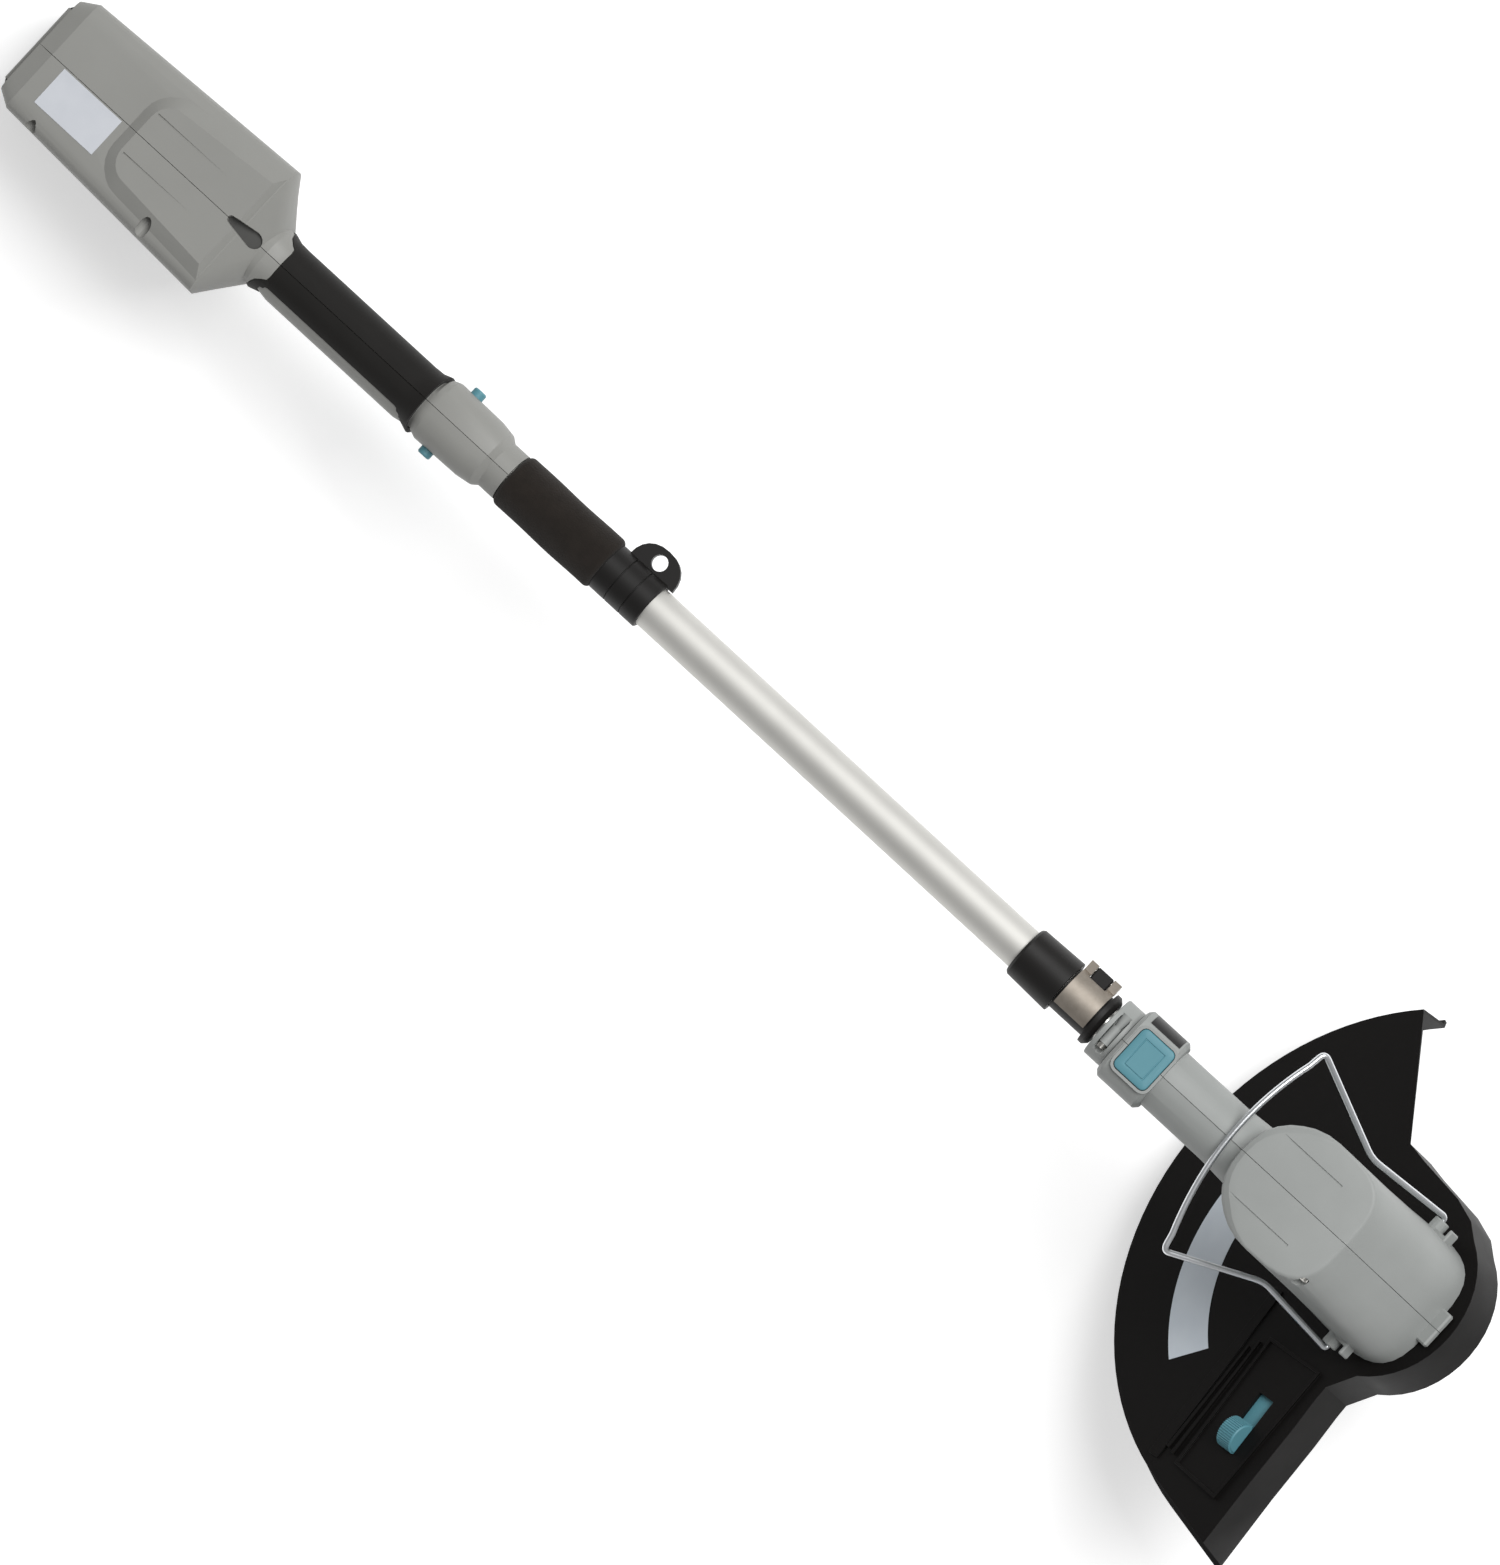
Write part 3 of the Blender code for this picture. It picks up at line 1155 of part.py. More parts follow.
def socket_clamp(socket, spot):
    """Channel across the top of the socket ring, with the boss and the screw that lie in it."""
    plan = rounded_outline(SOCKET_CHANNEL_WIDTH, SOCKET_CHANNEL_LENGTH, SOCKET_CHANNEL_WIDTH / 2 - GAP,
                           SOCKET_CHANNEL_MIDDLE)
    channel = slab("channel", plan, SOCKET_CHANNEL_FLOOR, 2 * SOCKET_RADIUS)
    cut(socket, as_cutter(channel, pole, (spot[0], 0, 0)))
    cut(socket, as_cutter(turned("boss", SOCKET_BOSS, "y", SMALL_ROUND), pole, spot), "UNION")
    for radius, inner in ((SOCKET_SCREW_HEAD_RADIUS + GAP, SOCKET_SEAT),
                          (SOCKET_SCREW_RADIUS + GAP, SOCKET_SCREW_TIP + GAP)):
        hole = turned("hole", rod_profile(radius, inner, -2 * SOCKET_RADIUS), "y", SMALL_ROUND)
        cut(socket, as_cutter(hole, pole, spot))
    finish(socket, pole, look=grey_abs())
    under = SOCKET_SEAT - GAP
    profile = [(0, SOCKET_SCREW_TIP), (SOCKET_SCREW_RADIUS, SOCKET_SCREW_TIP),
               (SOCKET_SCREW_RADIUS, under), (SOCKET_SCREW_HEAD_RADIUS, under),
               (SOCKET_SCREW_HEAD_RADIUS, under - SOCKET_SCREW_HEAD), (0, under - SOCKET_SCREW_HEAD)]
    finish(turned("socket_screw", profile, "y", SMALL_ROUND), pole, spot, look=steel())


def index_hub(bore):
    """Hub on the tube's end that the head turns on, with a notch at the top and the bottom."""
    hub_end = collar_start() + INDEX_HUB_LENGTH
    hub = turned("index_hub", ring_profile(INDEX_HUB_RADIUS, bore, hub_end, collar_start() + 0.004), "x")
    finish(hub, pole)
    for sign in (1, -1):
        z_low, z_high = sorted((sign * (INDEX_HUB_RADIUS - INDEX_NOTCH_DEPTH), sign * 0.03))
        notch = span_box("notch", (hub_end - 0.0120, -INDEX_NOTCH_WIDTH / 2, z_low),
                         (hub_end - 0.0040, INDEX_NOTCH_WIDTH / 2, z_high))
        cut(hub, as_cutter(notch, pole))
    finish(hub, pole, look=black_abs())


# Cutting head.

def head_ring(share, inset=0.0, count=ROUND):
    """One ring of the motor housing; share runs from the base, 0, to the sloping top, 1."""
    ring = []
    width = HEAD_HALF_WIDTH + HEAD_BELLY * (1 - share) ** 3 - inset
    front = HEAD_FRONT + (HEAD_FRONT_TOP - HEAD_FRONT) * share - inset
    rear = HEAD_REAR + (HEAD_REAR_TOP - HEAD_REAR) * share - inset
    for i in range(count):
        angle = 2 * math.pi * i / count
        forward, side = power_point(angle, 3.4 if math.cos(angle) > 0 else 2.3)
        x = forward * (front if forward > 0 else rear)
        top = HEAD_TOP - HEAD_TOP_SLOPE * x - inset
        ring.append((x, side * width, share * top))
    return ring


def head_top_rings(inset=0.0):
    """Edge of the sloping top: well rounded at the rear, a crisp crease at the front."""
    rings = []
    steps = 4
    for i in range(steps + 1):
        angle = math.pi / 2 * i / steps
        ring = []
        for x, y, z in head_ring(1.0, inset):
            rear = max(0.0, -x / HEAD_REAR_TOP)
            edge = HEAD_CREASE_ROUND + (HEAD_TOP_ROUND - HEAD_CREASE_ROUND) * min(1.0, 1.6 * rear)
            factor = 1 - edge * (1 - math.cos(angle)) / HEAD_HALF_WIDTH
            level = z + HEAD_TOP_SLOPE * x * (1 - factor)
            ring.append((x * factor, y * factor, level - edge * (1 - math.sin(angle))))
        rings.append(ring)
    return rings


def head_rings(inset=0.0, low=None):
    """All rings of the motor housing, from its base up."""
    shares = [0.0, 0.25, 0.5, 0.75]
    rings = [head_ring(share, inset) for share in shares]
    if low is not None:
        rings[0] = [(x, y, low) for x, y, z in rings[0]]
    return rings + head_top_rings(inset)


def neck_rings(inset=0.0):
    """Collar and neck along the pole axis, from the socket into the motor housing."""
    start, end = collar_start(), collar_end()
    chamfer = 0.0022
    wide = HEAD_COLLAR_HALF_WIDTH
    rows = [(start, wide - chamfer, 3.2), (start + chamfer, wide, 3.4), (end - chamfer, wide, 3.4),
            (end, wide - chamfer, 3.2), (end + 0.0004, HEAD_NECK_RADIUS, 2.0),
            (HEAD_DISTANCE - HEAD_NECK_WAIST, HEAD_NECK_RADIUS, 2.0),
            (HEAD_DISTANCE - HEAD_NECK_FLARE, HEAD_NECK_RADIUS + 0.0012, 2.1),
            (HEAD_DISTANCE - HEAD_NECK_ROOT, HEAD_NECK_ROOT_RADIUS, 2.2)]
    return [pole_ring(x, radius - inset, radius - inset, radius - inset, power, count=ROUND)
            for x, radius, power in rows]


def ear(shell, sign):
    """Bracket on one side of the head: two walls, and the boss that the wire guard turns in."""
    middle, reach = EAR_FORWARD + EAR_OFFSET, EAR_REACH - 0.0008
    low, high = EAR_RISE - EAR_HEIGHT / 2, EAR_RISE + EAR_HEIGHT / 2
    begin, stop = middle - EAR_LENGTH / 2, middle + EAR_LENGTH / 2
    inner_y, outer_y = sorted((sign * (HEAD_HALF_WIDTH - 0.006), sign * reach))
    block = span_box("ear", (begin, inner_y, low), (stop, outer_y, high), 0.0008)
    cut(shell, as_cutter(block, head), "UNION")
    inner_y, outer_y = sorted((sign * (HEAD_HALF_WIDTH + HEAD_BELLY + 0.0004), sign * 2 * reach))
    pocket = span_box("pocket", (begin + EAR_WALL, inner_y, low - EAR_WALL),
                      (stop - EAR_WALL, outer_y, high + EAR_WALL))
    cut(shell, as_cutter(pocket, head))
    inner_y, outer_y = sorted((sign * (HEAD_HALF_WIDTH - 0.003), sign * EAR_REACH))
    boss = turned("boss", rod_profile(EAR_BOSS_RADIUS, outer_y, inner_y, 0.0006), "y", SMALL_ROUND)
    cut(shell, as_cutter(boss, head, (EAR_FORWARD, 0, EAR_RISE)), "UNION")


def head_body():
    """Outer form of the head: motor housing, neck, collar with its button rim, ears and tab."""
    shell = finish(loft("head_shell", head_rings(0.0, GAP)), head)
    cut(shell, as_cutter(loft("neck", neck_rings()), pole), "UNION")
    rim = slab("rim", button_plan(HEAD_BUTTON_RIM + GAP), INDEX_HUB_RADIUS, HEAD_BUTTON_RIM_TOP)
    cut(shell, as_cutter(rim, pole, (button_middle(), 0, 0)), "UNION")
    for sign in (1, -1):
        ear(shell, sign)
    tab = span_box("tab", (HEAD_FRONT - 0.006, -HEAD_TAB_HALF_WIDTH, GAP),
                   (HEAD_TAB_REACH, HEAD_TAB_HALF_WIDTH, HEAD_TAB_HEIGHT), 0.001)
    cut(shell, as_cutter(tab, head), "UNION")
    return shell


def head_hollow():
    """Room inside the head and its neck, less the screw posts."""
    hollow = as_cutter(loft("hollow", head_rings(HEAD_WALL, HEAD_WALL + GAP)), head)
    rows = neck_rings(HEAD_WALL)
    first = [(x + HEAD_WALL + 0.001, y, z) for x, y, z in rows[0]]
    tunnel = loft("tunnel", [first, rows[1], [(x - HEAD_WALL, y, z) for x, y, z in rows[2]],
                             [(x - HEAD_WALL, y, z) for x, y, z in rows[4]]] + rows[5:])
    cut(hollow, as_cutter(tunnel, pole), "UNION")
    for seat in HEAD_SCREWS:
        screw_post(hollow, head, seat)
    return hollow


def head_shells():
    """Two moulded halves: collar, neck and motor housing with its ears for the wire guard."""
    shell = head_body()
    cut(shell, head_hollow())
    for index, seat in enumerate(HEAD_SCREWS):
        screw_room(shell, head, seat)
        shell_screw(f"head_screw_{index + 1}", head, seat)
    mouth = turned("mouth", rod_profile(INNER_TUBE_RADIUS + 0.0006, collar_start() + 0.006,
                                        collar_start() - 0.006), "x")
    cut(shell, as_cutter(mouth, pole))
    shaft_hole = turned("shaft_hole", rod_profile(HUB_HOLE_RADIUS, 0.010, -0.010))
    cut(shell, as_cutter(shaft_hole, head))
    for index in range(GUARD_SCREW_COUNT):
        angle = math.pi / 2 + 2 * math.pi * index / GUARD_SCREW_COUNT
        spot = (GUARD_SCREW_CIRCLE * math.cos(angle), GUARD_SCREW_CIRCLE * math.sin(angle), 0)
        hole = turned("hole", rod_profile(GUARD_SCREW_RADIUS + GAP, 0.010, -0.010), steps=SMALL_ROUND)
        cut(shell, as_cutter(hole, head, spot))
    for sign in (1, -1):
        low_y, high_y = sorted((sign * (HEAD_HALF_WIDTH + 0.001), sign * (EAR_REACH + 0.01)))
        wire_hole = turned("wire_hole", rod_profile(WIRE_RADIUS + GAP, high_y, low_y), "y", SMALL_ROUND)
        cut(shell, as_cutter(wire_hole, head, (EAR_FORWARD, 0, EAR_RISE)))
    button_hole = slab("button_hole", button_plan(GAP), INDEX_HUB_RADIUS + 0.001, 2 * HEAD_BUTTON_TOP)
    cut(shell, as_cutter(button_hole, pole, (button_middle(), 0, 0)))
    ends = [(x, HEAD_TOP - HEAD_TOP_SLOPE * x) for x in (CAP_GROOVE_START, CAP_GROOVE_END)]
    for sign in (1, -1):
        line = groove("line", sign * CAP_GROOVE_SIDE, *ends, GROOVE_DEPTH, GROOVE_DEPTH)
        cut(shell, as_cutter(line, head))
    halves(shell, "head_shell", grey_abs(), head)
    head_button(button_middle())


def button_middle():
    return (collar_start() + collar_end()) / 2 + HEAD_BUTTON_FORWARD


def button_plan(grow=0.0):
    """Plan of the head button, or of an opening that is larger all round."""
    return rounded_outline(HEAD_BUTTON_LENGTH + 2 * grow, HEAD_BUTTON_WIDTH + 2 * grow,
                           HEAD_BUTTON_CORNER + grow)


def head_button(middle):
    """Large push button on the collar: its foot sits in the index hub's notch until pressed."""
    low = HEAD_BUTTON_TOP - HEAD_BUTTON_HEIGHT + 0.004
    button = finish(slab("head_button", button_plan(), low, HEAD_BUTTON_TOP), pole, (middle, 0, 0))
    soften(button, 0.0012)
    finish(button, pole, (middle, 0, 0), look=teal())
    spring_low = INDEX_HUB_RADIUS + 0.0007
    coil("button_spring", pole, (middle + 0.0060, 0, spring_low), 0.0022, 0.0003,
         low - spring_low - 0.0006, 3)


def motor():
    """Direct-current motor on its bracket: can, magnets, rotor on the shaft, and two bearings."""
    base, top = MOTOR_BASE, MOTOR_BASE + MOTOR_LENGTH
    bore = SHAFT_RADIUS + GAP
    shares = [(base - BRACKET_THICKNESS - GAP), base - GAP]
    rings = []
    for height in shares:
        share = height / HEAD_TOP
        flat = head_ring(share, HEAD_WALL + 0.0006)
        rings.append([(x, y, height) for x, y, z in flat])
    bracket = finish(loft("motor_bracket", rings), head)
    hole = turned("hole", rod_profile(BEARING_RADIUS + GAP, base + 0.01, base - 0.02))
    cut(bracket, as_cutter(hole, head))
    finish(bracket, head, look=black_abs())
    wall = MOTOR_WALL
    boss = BEARING_RADIUS + wall
    profile = [(boss, top + 0.0020), (boss, top - 0.0020), (MOTOR_RADIUS, top - 0.0020),
               (MOTOR_RADIUS, base), (MOTOR_RADIUS - wall, base),
               (MOTOR_RADIUS - wall, top - 0.0020 - wall), (BEARING_RADIUS + GAP, top - 0.0020 - wall),
               (BEARING_RADIUS + GAP, top + 0.0020)]
    finish(turned("motor_can", profile), head, look=steel())
    magnet_out = MOTOR_RADIUS - wall - GAP
    magnet = ring_profile(magnet_out, magnet_out - MAGNET_THICKNESS, top - 0.014, base + 0.014)
    finish(turned("magnet_ring", magnet), head, look=black_abs())
    rotor = [(ROTOR_RADIUS, top - 0.016), (ROTOR_RADIUS, base + 0.016), (bore, base + 0.016),
             (bore, top - 0.016)]
    finish(turned("rotor", rotor), head, look=copper())
    for name, low in (("bearing_upper", top - 0.0045), ("bearing_lower", base - 0.0050)):
        bearing = ring_profile(BEARING_RADIUS, bore, low + BEARING_WIDTH, low, 0.0003)
        finish(turned(name, bearing, steps=24), head, look=steel())
    shaft_low = SPOOL_HOUSING_TOP + GAP
    shaft = turned("motor_shaft", rod_profile(SHAFT_RADIUS, top + 0.0030, shaft_low), steps=SMALL_ROUND)
    finish(shaft, head, look=steel())


def spool_group():
    """Spool housing with its eyelets on the driver, spool with line, spring, lid and bump knob."""
    top = SPOOL_HOUSING_TOP
    radius, wall = SPOOL_HOUSING_RADIUS, SPOOL_HOUSING_WALL
    bottom = top - SPOOL_HOUSING_HEIGHT
    driver_top = MOTOR_BASE - 0.0060
    driver = [(0.0085, driver_top), (0.0085, top + GAP), (SHAFT_RADIUS + GAP, top + GAP),
              (SHAFT_RADIUS + GAP, driver_top)]
    finish(turned("spindle_driver", driver, steps=24), head, look=steel())
    profile = [(0, top), (radius - 0.002, top), (radius, top - 0.002), (radius, bottom),
               (radius - wall, bottom), (radius - wall, top - wall), (0.0105, top - wall),
               (0.0105, top - wall - 0.007), (0, top - wall - 0.007)]
    case = finish(turned("spool_housing", profile), head)
    exit_low = bottom + 0.0090
    for sign in (1, -1):
        low_y, high_y = sorted((sign * (radius - 0.006), sign * (radius + 0.004)))
        hole = turned("hole", rod_profile(EYELET_RADIUS + GAP, high_y, low_y), "y", SMALL_ROUND)
        cut(case, as_cutter(hole, head, (0, 0, exit_low)))
    finish(case, head, look=black_abs())
    for name, sign in (("line_eyelet_left", 1), ("line_eyelet_right", -1)):
        inner_y, outer_y = radius - wall - 0.0002, radius + 0.0012
        if sign > 0:
            ring = ring_profile(EYELET_RADIUS, EYELET_BORE, outer_y, inner_y)
        else:
            ring = ring_profile(EYELET_RADIUS, EYELET_BORE, -inner_y, -outer_y)
        finish(turned(name, ring, "y", SMALL_ROUND), head, (0, 0, exit_low), look=steel())
    spool_pieces(top - wall, bottom)


def spool_pieces(ceiling, bottom):
    """What moves up and down in the spool housing when the knob is bumped, and its lid."""
    lid_low = bottom - GAP - LID_THICKNESS
    lid = ring_profile(SPOOL_HOUSING_RADIUS, LID_HOLE_RADIUS, bottom - GAP, lid_low, 0.0004)
    finish(turned("spool_lid", lid), head, look=black_abs())
    low = bottom + 0.0040
    high = low + SPOOL_HEIGHT
    bore = 0.0110
    flange = SPOOL_FLANGE
    spool = [(SPOOL_FLANGE_RADIUS, high), (SPOOL_FLANGE_RADIUS, high - flange),
             (SPOOL_CORE_RADIUS, high - flange), (SPOOL_CORE_RADIUS, low + flange),
             (SPOOL_FLANGE_RADIUS, low + flange), (SPOOL_FLANGE_RADIUS, low), (bore, low), (bore, high)]
    finish(turned("line_spool", spool), head, look=grey_abs())
    line = ring_profile(LINE_RADIUS, SPOOL_CORE_RADIUS + GAP, high - flange - GAP, low + flange + GAP, 0.001)
    finish(turned("line_winding", line), head, look=line_nylon())
    knob_top = low - GAP
    knob_low = lid_low - KNOB_HEIGHT
    flange_radius = SPOOL_FLANGE_RADIUS - 0.002
    knob = [(0, knob_top), (flange_radius, knob_top), (flange_radius, bottom + 0.0004),
            (KNOB_RADIUS, bottom + 0.0004), (KNOB_RADIUS, knob_low + 0.006),
            (KNOB_RADIUS - 0.002, knob_low + 0.002), (KNOB_RADIUS - 0.008, knob_low), (0, knob_low)]
    finish(turned("bump_knob", knob), head, look=black_abs())
    coil("spool_spring", head, (0, 0, high + 0.0006), 0.0135, 0.0006, ceiling - high - 0.0012, 3)


# Guard.

def guard_outline(out=0.0):
    """Plan of the guard plate, its rear rim moved outwards by a given distance; one leg stays open."""
    radius = GUARD_RADIUS + out
    points = []
    steps = 40
    begin = math.pi / 2 + WING_CUT_ANGLE
    stop = 3 * math.pi / 2 - WING_TANGENT_ANGLE
    for i in range(steps + 1):
        angle = begin + (stop - begin) * i / steps
        points.append((radius * math.cos(angle), radius * math.sin(angle)))
    last = points[-1]
    run = WING_FRONT_REACH - last[0]
    points.append((WING_FRONT_REACH, last[1] - run * math.tan(WING_TANGENT_ANGLE)))
    points += WING_FRONT
    steps = 16
    for i in range(steps + 1):
        angle = BULGE_BEGIN + (BULGE_END - BULGE_BEGIN) * i / steps
        points.append((GUARD_COLLAR_RADIUS * math.cos(angle), GUARD_COLLAR_RADIUS * math.sin(angle)))
    return points + BULGE_SIDE


def guard():
    """Moulded guard: plate, skirt with a rolled lip, blade platform and screw holes."""
    top = guard_outline(0.0)
    levels = [(0.0, 0.0), (GUARD_DRAFT, -GUARD_SKIRT + 0.001), (GUARD_DRAFT + GUARD_LIP, -GUARD_SKIRT)]

    def build(work):
        rows = []
        for out, height in levels:
            rows.append([work.verts.new((x, y, height)) for x, y in guard_outline(out)])
        work.faces.new(rows[0])
        for upper, lower in zip(rows, rows[1:]):
            for i in range(len(upper) - 1):
                work.faces.new((upper[i], lower[i], lower[i + 1], upper[i + 1]))

    plate = mesh_object("guard", build)
    shell = plate.modifiers.new("wall", "SOLIDIFY")
    shell.thickness = GUARD_THICKNESS
    shell.offset = -1
    finish(plate, head)
    bake(plate)
    hub = turned("hub", rod_profile(HUB_HOLE_RADIUS + 0.0005, 0.01, -0.01))
    cut(plate, as_cutter(hub, head))
    for index in range(GUARD_SCREW_COUNT):
        angle = math.pi / 2 + 2 * math.pi * index / GUARD_SCREW_COUNT
        spot = (GUARD_SCREW_CIRCLE * math.cos(angle), GUARD_SCREW_CIRCLE * math.sin(angle), 0)
        hole = turned("hole", rod_profile(GUARD_SCREW_RADIUS + GAP, 0.010, -0.010), steps=SMALL_ROUND)
        cut(plate, as_cutter(hole, head, spot))
    guard_relief(plate)
    track = (BLADE_TRACK_OFFSET, 0, 0)
    slot = span_box("slot", (-BLADE_SLOT_WIDTH / 2, -BLADE_SLOT_START - BLADE_SLOT_LENGTH, -FAR),
                    (BLADE_SLOT_WIDTH / 2, -BLADE_SLOT_START, FAR))
    cut(plate, as_cutter(slot, head, track, (0, 0, BLADE_TRACK_ANGLE)))
    finish(plate, head, look=black_abs())
    guard_screws()


def guard_relief(plate):
    """Raised forms on top of the plate: the blade's platform with its lip, the ribs and the ridge."""
    middle = sum((Vector(corner) for corner in PLATFORM), Vector((0, 0))) / len(PLATFORM)
    inner = [(x - math.copysign(PLATFORM_LIP, x - middle.x), y - math.copysign(PLATFORM_LIP, y - middle.y))
             for x, y in PLATFORM]
    platform = as_cutter(slab("platform", PLATFORM, -RIB_ROOT, PLATFORM_RISE), head)
    cut(platform, as_cutter(slab("tray", inner, PLATFORM_FLOOR, FAR), head))
    cut(plate, platform, "UNION")
    for start, end, start_half, end_half, rise in GUARD_RIBS:
        rib = slab("rib", rib_outline(start, end, start_half, end_half), -RIB_ROOT, rise)
        cut(plate, as_cutter(rib, head), "UNION")


def guard_screws():
    """Screws from under the guard plate into the head's base."""
    low = -GUARD_THICKNESS - GAP
    for index in range(GUARD_SCREW_COUNT):
        angle = math.pi / 2 + 2 * math.pi * index / GUARD_SCREW_COUNT
        spot = (GUARD_SCREW_CIRCLE * math.cos(angle), GUARD_SCREW_CIRCLE * math.sin(angle), 0)
        profile = [(0, low + GUARD_SCREW_LENGTH), (GUARD_SCREW_RADIUS, low + GUARD_SCREW_LENGTH),
                   (GUARD_SCREW_RADIUS, low), (GUARD_SCREW_HEAD_RADIUS, low),
                   (GUARD_SCREW_HEAD_RADIUS - 0.001, low - 0.002), (0, low - 0.002)]
        screw = turned(f"guard_screw_{index + 1}", profile, steps=SMALL_ROUND)
        finish(screw, head, spot, look=steel())


def blade_group():
    """Blade slider in its slot: the thumb piece on top, and the line blade under its plate."""
    near, far = -BLADE_SLOT_START, -BLADE_SLOT_START - BLADE_SLOT_LENGTH
    half, wide = BLADE_SLOT_WIDTH / 2 - SLIDER_CLEARANCE, SLIDER_HALF_WIDTH
    place = (head, (BLADE_TRACK_OFFSET, 0, 0), (0, 0, BLADE_TRACK_ANGLE))
    under = -GUARD_THICKNESS - GAP
    low = under - SLIDER_THICKNESS
    back = far + SLIDER_CLEARANCE
    front = near - BLADE_TRAVEL - SLIDER_CLEARANCE
    slider = finish(span_box("blade_slider", (-wide, far - SLIDER_OVERLAP, low),
                             (wide, near + SLIDER_OVERLAP, under)), *place)
    stem = span_box("stem", (-half, back, under - SLIDER_THICKNESS / 2), (half, front, THUMB_HEIGHT))
    cut(slider, as_cutter(stem, *place), "UNION")
    disc = rod_profile(THUMB_RADIUS, THUMB_THICKNESS / 2, -THUMB_THICKNESS / 2, 0.0008)
    thumb = as_cutter(turned("thumb", disc, "x", 24), *place)
    thumb.data.transform(Matrix.Translation((0, back + THUMB_RADIUS, THUMB_HEIGHT)))
    below = span_box("below", (-FAR, -FAR, -FAR), (FAR, FAR, PLATFORM_FLOOR + GAP))
    cut(thumb, as_cutter(below, *place))
    cut(slider, thumb, "UNION")
    finish(slider, *place, look=teal())
    top = low - GAP
    blade = finish(span_box("line_blade", (-wide, far, top - BLADE_THICKNESS), (wide, near, top)), *place)
    tooth = span_box("tooth", (wide - BLADE_THICKNESS, far, top - BLADE_DROP), (wide, near, top))
    cut(blade, as_cutter(tooth, *place), "UNION")
    finish(blade, *place, look=steel())


def wire_route():
    """Points of the bent wire, as (reach along the wire plane, side)."""
    neck_y = EAR_REACH + 0.0004
    corner, bend = WIRE_HALF_WIDTH, WIRE_CORNER_ROUND
    near, far = WIRE_CORNER_REACH, WIRE_REACH
    leg = [(0.0, EAR_REACH - 0.0070), (0.0, neck_y), (0.0006, neck_y + 0.0014), (0.0030, neck_y + 0.0022),
           (WIRE_KNEE / 2, (neck_y + WIRE_LEG_HALF_WIDTH) / 2), (WIRE_KNEE - bend, WIRE_LEG_HALF_WIDTH),
           (WIRE_KNEE + bend, WIRE_LEG_HALF_WIDTH + bend / 5), (near - bend, corner - bend / 2),
           (near - bend / 3, corner), (near + bend / 3, corner - bend / 2)]
    arc = []
    steps = 12
    for i in range(1, steps):
        share = 1 - 2 * i / steps
        arc.append((near + (far - near) * (1 - share ** 2), (corner - bend) * share))
    route = leg + arc + [(reach, -side) for reach, side in reversed(leg)]
    return [(reach + WIRE_SKEW * side / corner * min(1.0, reach / near), side) for reach, side in route]


def plant_guard():
    """Bent spring-steel wire that swings from its parked place over the neck to the front."""
    curve = bpy.data.curves.new("plant_guard_wire", "CURVE")
    curve.dimensions = "3D"
    curve.bevel_depth = WIRE_RADIUS
    curve.bevel_resolution = 2
    curve.use_fill_caps = True
    spline = curve.splines.new("POLY")
    route = wire_route()
    spline.points.add(len(route) - 1)
    lean = WIRE_RISE + POLE_RISE + HEAD_LEAN
    for point, (reach, side) in zip(spline.points, route):
        point.co = (-reach * math.cos(lean), side, reach * math.sin(lean), 1)
    curve_piece("plant_guard_wire", curve, head, (EAR_FORWARD, 0, EAR_RISE), steel())


clear_scene()
parts = new_collection(COLLECTION_NAME)
cutters = new_collection("cutters")
floor = axes("floor_axes", (-(BATTERY_REAR + BATTERY_LENGTH / 2), 0, 0), (0, 0, 0))
pole = axes("pole_axes", (0, 0, AXIS_HEIGHT), (0, -POLE_RISE, 0), floor)
head = axes("head_axes",
            (HEAD_DISTANCE + HEAD_AXIS_HEIGHT * math.sin(HEAD_LEAN), 0,
             -HEAD_AXIS_HEIGHT * math.cos(HEAD_LEAN)), (0, -HEAD_LEAN, 0), pole)
handle_shells()
grip_overmoulds()
terminal_block()
control_board()
battery()
trigger_group()
pole_pieces()
clamp_group()
boom()
head_shells()
motor()
spool_group()
guard()
blade_group()
plant_guard()
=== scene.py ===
import json
import math

import bmesh
import bpy
from mathutils import Matrix, Vector


